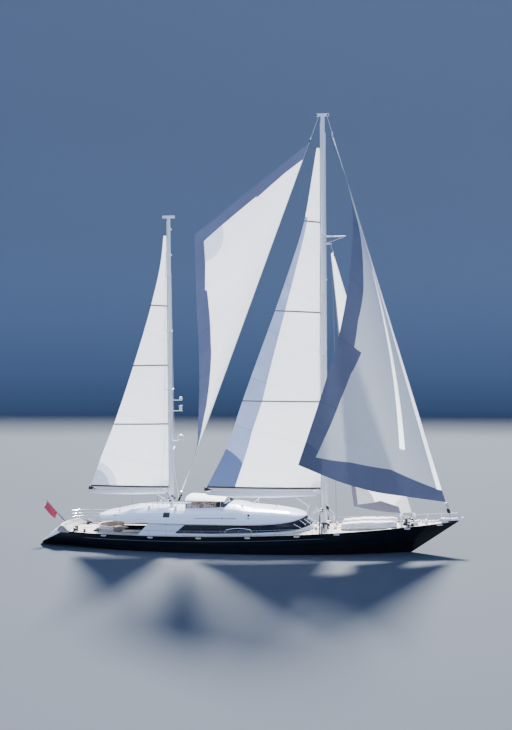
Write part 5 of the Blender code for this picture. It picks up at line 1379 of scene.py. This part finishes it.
def tenderCover(side):
    # the cover: a squared arch on each station, ridged along it by one sine, drooping by another
    plan = tenderPlan
    word = "Port" if side > 0 else "Starboard"
    centre = side * plan["centre"]

    def width(x):
        return curveValue([s[:2] for s in plan["stops"]], x)

    def height(x):
        return curveValue([s[::2] for s in plan["stops"]], x)

    x = np.linspace(5.71, 9.34, 70)
    half = width(x) - 0.012
    top = height(x) - 0.006
    angle = np.linspace(-0.16, math.pi + 0.16, 41)
    across = squared(np.cos(angle), 0.55)
    rise = squared(np.sin(angle), 0.8)

    def ripple(size, length):
        return size * np.sin((x - 5.7) * 2 * math.pi / length)[:, None]

    ridge = ripple(*plan["ridge"]) * np.maximum(np.sin(angle), 0) ** 2
    droop = ripple(*plan["droop"]) * (1 - np.abs(np.sin(angle)))
    y = centre + (half[:, None] - 0.012 + droop) * across[None]
    z = top[:, None] - plan["depth"] + plan["depth"] * rise[None] - 0.014 + ridge
    grid = spots(x[:, None], y, z)
    deck = deckZ(grid[..., 0], np.abs(grid[..., 1]))
    grid[..., 2] = np.maximum(grid[..., 2], deck + 0.03)
    cover = piece("tenderCover" + word, [plate(grid, plan["skin"])], canvas, smooth=60)
    hullX = np.linspace(5.74, 9.28, 30)
    bed = deckZ(hullX, np.full(30, plan["centre"]))[:, None]
    strake = np.maximum((height(hullX) - 0.36)[:, None], bed + 0.1)
    t = np.linspace(0, math.pi, 15)
    hullY = centre + (width(hullX) - 0.035)[:, None] * np.cos(t)[None]
    hull = spots(hullX[:, None], hullY, strake - (strake - bed - 0.012) * np.sin(t)[None] ** 0.7)
    body = piece("tenderHull" + word, [plate(hull, 0.012)], tubeGrey, smooth=50)
    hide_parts("covered_tender_" + word.lower())
    clothArea(grid, plan["flat"])
    laces = []
    first, step, count = plan["laces"]
    lift = 0.006 * np.maximum(np.sin(angle[3:38:2]), 0.2)
    for at in first + step * np.arange(count):
        band = grid[int(np.argmin(np.abs(x - at))), 3:38:2] + lift[:, None] * upright
        out = band - (at, centre, 1.8)
        out[:, 0] = 0
        laces.append(sweep(band + unit(out) * 0.003, plan["lace"], alongBoat))
    piece("tenderLashing" + word, laces, ropeDark)


# Deckhouse trim

housePlan = {
    "half": [(-10.72, 0.35), (-10.5, 1.0), (-10.0, 1.5), (-9.2, 1.85), (-8, 2.12), (-6.5, 2.27),
             (-3, 2.3), (-0.5, 2.27), (0.8, 2.14), (1.9, 1.87), (2.7, 1.5), (3.2, 1.02), (3.4, 0.35)],
    "under": [(-10.72, 2.0), (-9.8, 1.87), (-8.6, 1.79), (-6.8, 1.77), (-2.5, 1.78), (0.3, 1.82),
              (1.9, 1.95), (2.9, 2.11), (3.4, 2.26)],
    "top": [(-10.72, 2.08), (-10.3, 2.25), (-9.4, 2.42), (-7.7, 2.76), (-6, 2.82), (-4, 2.84),
            (-2.2, 2.95), (-1.4, 3.06), (-0.4, 2.88), (0.9, 2.78), (2.7, 2.56), (3.2, 2.42),
            (3.4, 2.33)],
    "nose": 3.92, "shoulder": -1.5, "wall": 2.22, "power": 1.3, "rake": 1.4, "lean": 0.08,
    "sill": [(-5, 1.2), (-0.7, 1.28), (1.0, 1.38), (2.9, 1.5), (3.5, 1.66), (3.9, 1.8)],
    "ledge": [(-6.2, 1.135), (-0.7, 1.2), (1.0, 1.29), (2.9, 1.41), (3.4, 1.52)],
}


def house(curve, x):
    return curveValue(housePlan[curve], x)


def roofSide(x, z):
    # half width of the roof at a height on its side
    under = house("under", x) + 0.05
    rise = np.clip((z - under) / (house("top", x) - under), 0, 1)
    return house("half", x) * (1 - rise**2) ** 0.25


def roofTop(x, y):
    # height of the roof's crown surface at a place
    under = house("under", x) + 0.05
    share = np.clip(np.abs(y) / house("half", x), 0, 1)
    return under + (house("top", x) - under) * np.sqrt(1 - share**4)


def oval(share):
    # a superellipse quarter: one coordinate's share from the other's
    power = housePlan["power"]
    return (1 - np.clip(share, 0, 1) ** (2 * power)) ** (0.5 / power)


def wallReach(z):
    # the nose's distance from the shoulder and the wall's half width, both less with height
    nose = housePlan["nose"] - housePlan["rake"] * np.maximum(z - 1.8, 0)
    return nose - housePlan["shoulder"], housePlan["wall"] - housePlan["lean"] * (z - 1.2)


def wallSide(x, z):
    # half width of the deckhouse wall at a place: a rounded nose ahead of the shoulder
    long, half = wallReach(z)
    return half * oval((x - housePlan["shoulder"]) / long)


def wallFront(y, z):
    # x of the wall's nose at a place across the boat
    long, half = wallReach(z)
    return housePlan["shoulder"] + long * oval(np.abs(y) / half)


def onWall(x, z, out):
    return spots(x, wallSide(x, z) + out, z)


def onRoof(x, z, out):
    return spots(x, roofSide(x, z) + out, z)


trimPlan = {
    "noseBars": (0.0, 0.42, 0.84, 1.2), "noseBar": barProfile(0.022, 0.016, -0.008, 0.01),
    "cornerBar": barProfile(0.016, 0.012, -0.006, 0.008),
    "dividers": (-3.2, -1.9, -0.6, 0.7, 1.9), "divider": barProfile(0.012, 0.012, -0.003, 0.004),
    "dividerLean": 0.35, "bead": 0.012,
}


def windowTrim():
    # glass that carries the band round the corner, white mullions, and thin black dividers
    plan = trimPlan
    s, v = mesh2(np.linspace(0, 1, 12), np.linspace(0, 1, 7))
    lowX = 2.86 + (3.24 - 2.86) * s
    x = lowX + (2.34 + (2.86 - 2.34) * s - lowX) * v
    sill = house("sill", x)
    z = sill + (house("under", x) - 0.03 - sill) * v
    piece("windowBridges", bothSides([plate(onWall(x, z, 0.009), 0.008)]), glassDark)
    z = np.linspace(1.76, 2.1, 6)
    bars = [sweep(spots(wallFront(y, z) + 0.018, y + 0.1 * (z - 1.76), z), plan["noseBar"], alongBoat)
            for y in plan["noseBars"]]
    corner = onWall(np.linspace(2.72, 3.19, 8), np.linspace(1.88, 1.6, 8), 0.02)
    bars.append(sweep(corner, plan["cornerBar"], acrossBoat))
    piece("windowMullions", bothSides(bars), whiteTrim)
    dark = []
    for x in plan["dividers"]:
        low = house("sill", x) + 0.01
        z = np.linspace(low, house("under", x) - 0.035, 6)
        path = onWall(x - (z - low) * plan["dividerLean"], z, 0.0165)
        dark.append(sweep(path, plan["divider"], acrossBoat))
    bead = roundProfile(plan["bead"], 6)
    x = np.linspace(-4.95, 2.85, 60)
    dark.append(sweep(onWall(x, house("sill", x) - 0.012, 0.008), bead))
    piece("windowSeals", bothSides(dark), gearBlack)
    x = np.linspace(-6.1, 3.3, 70)
    piece("houseLedge", bothSides([sweep(onWall(x, house("ledge", x), 0.005), bead)]), whiteTrim)


roofPlan = {
    "knob": [(0.01, -0.04), (0.035, -0.025), (0.035, 0.02), (0.01, 0.03)],
    "lamps": (-5.61, -3.41, -2.31, -0.14, 0.94),
    "louvre": (-5.84, -5.38, 2.19, 2.5), "slats": (2.225, 0.047, 6),
    "slat": [(-0.006, -0.01), (0.006, -0.014), (0.006, 0.004), (-0.006, 0.008)],
    "portholes": ((-0.17, 2.42, 0.075), (-0.17, 2.24, 0.04)),
    "vents": ((-0.77, 1.15), (-0.69, 1.35), (-9.0, 1.3), (-7.9, 1.9), (1.4, 0.9), (1.4, -0.05)),
    "vent": [(0.02, -0.02), (0.045, 0.0), (0.045, 0.02), (0.03, 0.06), (0.012, 0.09)],
    "winches": ((-5.1, 1.68, 1.1), (-5.1, -1.68, 1.1), (-1.95, 1.86, 0.9), (-1.95, -1.86, 0.9),
                (-6.9, 1.62, 1.0), (-6.9, -1.62, 1.0)),
    "strutY": (-0.75, 0.75), "post": (-8.93, 1.5, 2.86),
}


def roofFittings():
    # handrails, wall lamps, the louvred recess, round lamps, vents, struts, posts and winches
    plan = roofPlan
    path = onRoof(np.linspace(-3.73, -0.97, 30), np.linspace(2.19, 2.24, 30), 0.035)
    rail = [tube(path, 0.012)]
    rail += [tube([path[k] - (0, 0.06, 0), path[k]], 0.009, 6) for k in (0, 7, 14, 21, 29)]
    rail.append(lathe(plan["knob"], (-1.88, roofSide(-1.88, 2.24) + 0.045, 2.24), acrossBoat, 14))
    piece("roofHandrails", bothSides(rail), gearBlack)
    lamps = []
    for x in plan["lamps"]:
        z = house("under", x)
        foot = np.array([x, wallSide(x, z - 0.04), z])
        lamps.append(roundBox(foot - (0.045, 0.006, 0.05), foot + (0.045, 0.022, -0.015), 0.008))
    piece("wallLamps", bothSides(lamps), gearBlack)
    aft, fore, low, high = plan["louvre"]
    gx, gz = mesh2(np.linspace(aft + 0.01, fore - 0.01, 9), np.linspace(low + 0.01, high - 0.01, 7))
    slats = [plate(onRoof(gx, gz, 0.004), 0.012)]
    first, step, count = plan["slats"]
    x = np.linspace(aft + 0.03, fore - 0.03, 8)
    slats += [sweep(onRoof(x, first + k * step, 0.012), plan["slat"]) for k in range(count)]
    piece("roofLouvres", bothSides(slats), gearBlack)
    z = np.linspace(low, high, 7)
    x = np.linspace(aft, fore, 8)
    frames = [tube(onRoof(end, z, 0.008), 0.012, 6) for end in (aft, fore)]
    frames += [tube(onRoof(x, end, 0.008), 0.012, 6) for end in (low, high)]
    piece("louvreFrames", bothSides(frames), whiteTrim)
    rounds = [lathe([(r * 0.5, -0.05), (r, -0.01), (r, 0.035), (r * 0.7, 0.055), (r * 0.3, 0.06)],
                    (x, roofSide(x, z), z), (0, 1, 0.25), 18) for x, z, r in plan["portholes"]]
    piece("roofLamps", bothSides(rounds), gearBlack)
    vents = [lathe(plan["vent"], (x, y, roofTop(x, y)), sides=14) for x, y in plan["vents"]]
    piece("roofVents", bothSides(vents), chrome)
    struts = []
    for y in plan["strutY"]:
        foot = np.array([-0.35, y, roofTop(-0.35, y) - 0.01])
        struts.append(tube([foot, (0.2, y * 0.9, 3.28)], 0.018))
        struts.append(tube([foot + (0.42, 0, -0.02), (0.02, y * 0.93, 3.12)], 0.012))
    piece("foldedStruts", struts, sparWhite)
    x, wide, top = plan["post"]
    piece("roofPosts", [tube([(x, y, roofTop(x, wide) - 0.02), (x, y, top)], 0.012)
                        for y in (-wide, wide)], gearBlack)
    piece("roofWinches", winches(plan["winches"], roofTop, -0.004), chrome)


# Cushions and pads

puffPlan = {"voxel": 0.014, "cap": 0.012, "pressure": 4.0, "quality": 4, "frames": 20}


def puff(made):
    # remeshes a pad evenly, blows it up as cloth with no gravity, and limits how far points move
    skin = made.modifiers.new("even", "REMESH")
    skin.mode = "VOXEL"
    skin.voxel_size = puffPlan["voxel"]
    graph = bpy.context.evaluated_depsgraph_get()
    even = bpy.data.meshes.new_from_object(made.evaluated_get(graph))
    made.modifiers.clear()
    finish = made.data.materials[0]
    made.data = even
    even.materials.clear()
    even.materials.append(finish)
    before = np.zeros(len(even.vertices) * 3)
    even.vertices.foreach_get("co", before)
    swell = made.modifiers.new("swell", "CLOTH")
    swell.settings.use_pressure = True
    swell.settings.uniform_pressure_force = puffPlan["pressure"]
    swell.settings.effector_weights.gravity = 0
    swell.settings.quality = puffPlan["quality"]
    swell.point_cache.frame_end = puffPlan["frames"]
    for step in range(1, puffPlan["frames"] + 1):
        bpy.context.scene.frame_set(step)
    graph = bpy.context.evaluated_depsgraph_get()
    blown = made.evaluated_get(graph).data
    after = np.zeros(len(blown.vertices) * 3)
    blown.vertices.foreach_get("co", after)
    made.modifiers.clear()
    bpy.context.scene.frame_set(1)
    move = (after - before).reshape(-1, 3)
    far = np.maximum(np.linalg.norm(move, axis=1, keepdims=True), 1e-9)
    moved = before.reshape(-1, 3) + move * np.minimum(far, puffPlan["cap"]) / far
    even.vertices.foreach_set("co", moved.ravel())
    even.update()
    even.shade_smooth()
    finer = made.modifiers.new("finer", "SUBSURF")
    finer.levels = 1
    finer.render_levels = 1


def padShape(path, wide, thick):
    # a crowned bar: a rounded-square profile whose size falls at both ends and rises in the middle
    angle = turns(28)
    px = wide / 2 * squared(np.cos(angle), 0.35)
    pz = thick / 2 * squared(np.sin(angle), 0.35)
    sizes = np.clip(1 - np.abs(np.linspace(-1, 1, 40)) ** 14, 0.03, 1) ** 0.3
    return sweep(smoothPath(path, 40), np.stack([px, pz], axis=1), upright, sizes)


def padded(title, parts, node):
    # one puffed piece that stands for the plain pad of the solids
    pad = piece(title, parts, padCream, smooth=70)
    puff(pad)
    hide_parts(node)


benchPlan = {"Seat": (1.09, 2.695, 0.27, 0.085), "Back": (1.307, 2.87, 0.085, 0.36),
             "lengths": ((-4.46, -3.63), (-3.61, -2.78))}


def flybridgePads():
    # two pads end to end on each seat and each back
    for side, word in ((-1, "Starboard"), (1, "Port")):
        for part in ("Seat", "Back"):
            y, z, wide, thick = benchPlan[part]
            parts = [padShape([(aft, side * y, z), (fore, side * y, z)], wide, thick)
                     for aft, fore in benchPlan["lengths"]]
            padded("flybridge" + part + "Pad" + word, parts,
                   "flybridge_%s_pad_%s" % (part.lower(), word.lower()))


chairPlan = {
    "places": (-0.75, 0.35), "floor": 2.4215,
    "leg": [(0.16, 0.0), (0.16, 0.012), (0.04, 0.03), (0.035, 0.32), (0.1, 0.34)],
    "table": [((-4.45, -0.32, 2.84), (-3.75, 0.32, 2.875), 0.015),
              ((-4.38, -0.2, 2.876), (-3.86, 0.2, 2.95), 0.02)],
    "stem": [(0.2, 0.0), (0.2, 0.012), (0.04, 0.03), (0.035, 0.41), (0.12, 0.419)],
    "panel": [((-2.42, -1.05, 3.04), (-2.12, -0.45, 3.12), 0.02),
              ((-2.41, -1.0, 2.93), (-2.25, -0.75, 3.2), 0.03)],
}


def flybridgeGear():
    # two helm chairs on pedestals and a low table between the benches
    plan = chairPlan
    chairs = []
    s, v = mesh2(np.linspace(-1, 1, 11), np.linspace(0, 1, 9))
    for y in plan["places"]:
        chairs.append(roundBox((-3.26, y - 0.22, 2.755), (-2.8, y + 0.22, 2.84), 0.035))
        back = spots(-3.25 - 0.09 * v + 0.03 * s**2, y + 0.22 * s * (1 - 0.12 * v**3),
                     2.82 + 0.33 * v)
        chairs.append(plate(back, 0.045))
    piece("helmChairs", chairs, padBrown, smooth=50)
    legs = [lathe(plan["leg"], (-3.02, y, plan["floor"]), sides=18) for y in plan["places"]]
    piece("helmChairLegs", legs, chrome)
    piece("flybridgeTable", [roundBox(*box) for box in plan["table"]], varnished)
    piece("tableLeg", [lathe(plan["stem"], (-4.1, 0, plan["floor"]))], chrome)
    piece("helmPanel", [roundBox(*box) for box in plan["panel"]], gearBlack)


sofaPlan = {"middle": -9.4, "radius": 1.045, "height": 1.031, "start": 94.5, "step": 34.4, "gap": 1.4,
            "wide": 0.39, "thick": 0.082}


def sofaPads():
    # five pads round the aft sofa, each an arc about its middle
    plan = sofaPlan
    parts = []
    for k in range(5):
        start = plan["start"] + k * plan["step"]
        a = np.linspace(math.radians(start), math.radians(start + plan["step"] - plan["gap"]), 7)
        path = spots(plan["middle"] + plan["radius"] * np.cos(a), plan["radius"] * np.sin(a),
                     plan["height"])
        parts.append(padShape(path, plan["wide"], plan["thick"]))
    padded("aftSofaPads", parts, "aft_sofa_pad")


# Flag and bimini

flagPlan = {
    "foot": (-13.25, 0.0, 1.43), "top": (-14.6, 0.0, 2.88), "flat": (1.05, 0.5), "area": 0.42,
    "truck": [(0.012, -0.035), (0.026, -0.02), (0.03, 0.0), (0.024, 0.02), (0.01, 0.03)],
}


def makeEnsign():
    # a red flag that droops from its hoist, folded by sine waves that grow to its free end
    foot = np.array(flagPlan["foot"])
    staff = np.array(flagPlan["top"]) - foot
    s = np.linspace(0, 1, 31)[:, None]
    t = np.linspace(0, 1, 25)[None]
    below = unit((-staff[2], 0, staff[0]))
    hoist = foot + staff * (0.42 + 0.53 * s)[..., None] + below * 0.024
    x = hoist[..., 0] - 0.12 * t - 0.05 * t * s
    y = hoist[..., 1] - 0.11 * t + 0.055 * np.sin(9 * t + 3 * s) * t
    z = hoist[..., 2] - 0.42 * t**0.9 + 0.02 * np.cos(7 * s) * t
    flag = piece("ensignCloth", [plate(spots(x, y, z), 0.005)], bunting, smooth=70)
    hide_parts("ensign")
    truck = lathe(flagPlan["truck"], (-14.585, 0, 2.86), (-1.35, 0, 1.45), 16)
    piece("staffTruck", [truck], varnished)
    low = foot + staff * 0.01
    piece("staffSleeve", [tube([low, low + staff * 0.36], 0.034)], darkWood)


biminiPlan = {
    # x, crown height and fall to the sides
    "hoops": [(-4.52, 3.46, 0.24), (-4.3, 3.47, 0.24), (-3.2, 3.44, 0.22), (-2.1, 3.4, 0.18),
              (-1.85, 3.38, 0.18)],
    "flat": (2.66, 3.2), "bays": (4.3, 3.2), "bay": 1.1, "sag": 0.012, "half": 1.53, "lift": 0.0195,
}


def makeBimini():
    # one taut canopy over the hoops, sagging between them by squared sines
    plan = biminiPlan
    x = np.linspace(-4.51, -1.86, 57)
    places, crowns, falls = np.array(plan["hoops"]).T
    crown = np.interp(x, places, crowns)
    fall = np.interp(x, places, falls)
    sag = sum(plan["sag"] * np.sin(np.clip((x + bay) / plan["bay"], 0, 1) * math.pi) ** 2
              for bay in plan["bays"])
    t = np.linspace(-1, 1, 41)
    drop = fall[:, None] * (0.84 * np.abs(t) ** 4 + 0.16 * t**2)[None]
    z = crown[:, None] - drop + plan["lift"] - sag[:, None] * (1 - np.abs(t)[None] ** 3)
    grid = spots(x[:, None], (plan["half"] * t)[None], z)
    cover = piece("biminiCanopy", [plate(grid, 0.006)], canvas, smooth=60)
    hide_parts("bimini_cover")
    clothArea(grid, plan["flat"])


floorPlan = {
    # a flat dish that rises far out
    "radii": (0.5, 60, 130, 180, 220, 250, 270, 280, 284),
    "heights": (0, 0, 0, 2, 10, 26, 52, 90, 140.0),
    "sides": 96, "near": ((0.057, 0.065, 0.077), (0.063, 0.071, 0.083)), "far": (0.2, 0.215, 0.24),
    "fade": (150.0, 110.0),
}


def makeFloor():
    # rings of points at set radii and heights, paler with distance from the middle: painted light on
    # the far, rising wall, which lies in shade
    plan = floorPlan
    turn = np.linspace(0, 2 * math.pi, plan["sides"] + 1)[:-1]
    radii = np.array(plan["radii"])[:, None]
    dish = spots(radii * np.cos(turn), radii * np.sin(turn), np.array(plan["heights"])[:, None])
    mesh = bpy.data.meshes.new("studioFloor")
    faces = gridFaces(len(radii), plan["sides"], False, True).tolist() + [list(range(plan["sides"]))]
    mesh.from_pydata(dish.reshape(-1, 3).tolist(), [], faces)
    mesh.shade_smooth()
    pale = Finish("paleFloor", (0.06, 0.068, 0.08), 0.9, Specular_IOR_Level=0.1)
    x, y = pale.split(pale.place())[:2]
    near = pale.mix(pale.noise(pale.place(), 0.05, 2.0), *plan["near"])
    # the far colour is painted light, brightening the shaded far wall
    far = ((x * x + y * y) ** 0.5).over(*plan["fade"])
    mesh.materials.append(pale.done(pale.mix(far, near, plan["far"]), None))
    place("studioFloor", mesh, (0, 0, 0))


# Build everything

setCamera()
setLights()

blackPaint = hullPaint()
dullBottom = bottomPaint()
# white tinted blue-grey: painted sky shade over white paint
whitePaintedSkyShade = whitePaint("whiteTopsidesSkyShade", (0.81, 0.85, 0.91))
# pale blue-grey: painted shade, the white walls' look in open shade
wallPaintedShade = whitePaint("wallPaintedShade", (0.62, 0.69, 0.82))
whiteTrim = whitePaint("whiteTrim", (0.84, 0.85, 0.87), 0.22)
sparWhite = sparPaint()
teak = teakDeck()
teakTrim = teakDeck("teakTrim", 0, 0.5)
varnished = varnish()
darkWood = varnish("darkWood", (0.012, 0.008, 0.007), (0.035, 0.018, 0.012), 0.2)
glassDark = darkGlass()
coamingFinish = coamingPaint()
sofaFinish = sofaPaint()
screenTint = darkGlass("screenTint", (0.02, 0.028, 0.06))
benchSides = benchFinish()
steel = polishedSteel()
chrome = polishedSteel("chromedSteel", (0.8, 0.81, 0.83), 0.12)
# white paint on the chrome fairlead rings: a painted highlight
ringPaintedHighlight = whitePaint("ringPaintedHighlight", (0.93, 0.93, 0.92), 0.3)
rodSteel = polishedSteel("rodSteel", (0.55, 0.57, 0.6), 0.34)
railSteel = polishedSteel("railSteel", (0.3, 0.31, 0.34), 0.4)
bronze = castBronze()
gearBlack = blackGear()
tubeGrey = blackGear("tubeGrey", (0.25, 0.26, 0.28), 0.5)
canvas = fabric("coverCanvas", (0.8, 0.79, 0.76), 0.005)
padCream = fabric("padCream", (0.5, 0.38, 0.27))
padBrown = fabric("helmVinyl", (0.42, 0.27, 0.18), soft=0.6)
bunting = fabric("redBunting", (0.5, 0.04, 0.08), soft=0.8)
ropePale = ropeLay("paleRope", (0.7, 0.71, 0.7))
ropeDark = ropeLay("greyWebbing", (0.3, 0.31, 0.33))
print("finishes made")

finishes = {
    blackPaint: ["hull", "bulwark_port", "bulwark_starboard"],
    dullBottom: ["keel", "rudder", "rudder_bearing"],
    coamingFinish: ["transom_coaming"],
    whitePaintedSkyShade: ["deckhouse_roof", "bow_platform"],
    wallPaintedShade: ["deckhouse_walls"],
    benchSides: ["flybridge_bench_port", "flybridge_bench_starboard"],
    sofaFinish: ["aft_sofa"],
    sparWhite: ["main_mast", "mizzen_mast", "main_boom", "mizzen_boom", "radar_scanner"],
    darkWood: ["ensign_staff"],
    teak: ["deck", "cockpit_table"],
    glassDark: ["front_glass", "side_glass_port", "side_glass_starboard", "saloon_door"],
    screenTint: ["windscreen"],
    railSteel: ["guardrail_port", "guardrail_starboard"],
    chrome: ["pulpit", "bimini_frame", "helm_wheel"],
    steel: ["propeller_shaft_port", "propeller_shaft_starboard"],
    stayRod("genoaRod", 2.6, 2.84): ["genoa_stay"],
    stayRod("innerRod", 2.12, 2.45): ["inner_forestay"],
    stayRod("muleRod", 3.0, 3.3): ["mizzen_staysail_stay"],
    rodSteel: ["main_vang", "mizzen_vang", "main_shroud_port",
               "main_shroud_starboard", "mizzen_shroud_port", "mizzen_shroud_starboard"],
    bronze: ["propeller_port", "propeller_starboard"],
    gearBlack: ["helm_console", "windlass"],
}
for finish, names in finishes.items():
    for name in names:
        for holder in nodes[name].material_slots:
            holder.material = finish
print("solids finished")

makeSails()
print("sails made")
boomGear("mainBoom")
boomGear("mizzenBoom")
diagonalShrouds()
furlers()
masthead()
halyards()
print("rig made")
capRails()
fairleads()
sternFittings()
cleats()
guardWires()
shroudBoots()
mastFoot()
mizzenFoot()
foredeckGear()
bowGear()
for side in (-1, 1):
    tenderCover(side)
print("deck made")
windowTrim()
roofFittings()
makeBimini()
makeEnsign()
flybridgePads()
flybridgeGear()
sofaPads()
print("house made")
makeFloor()
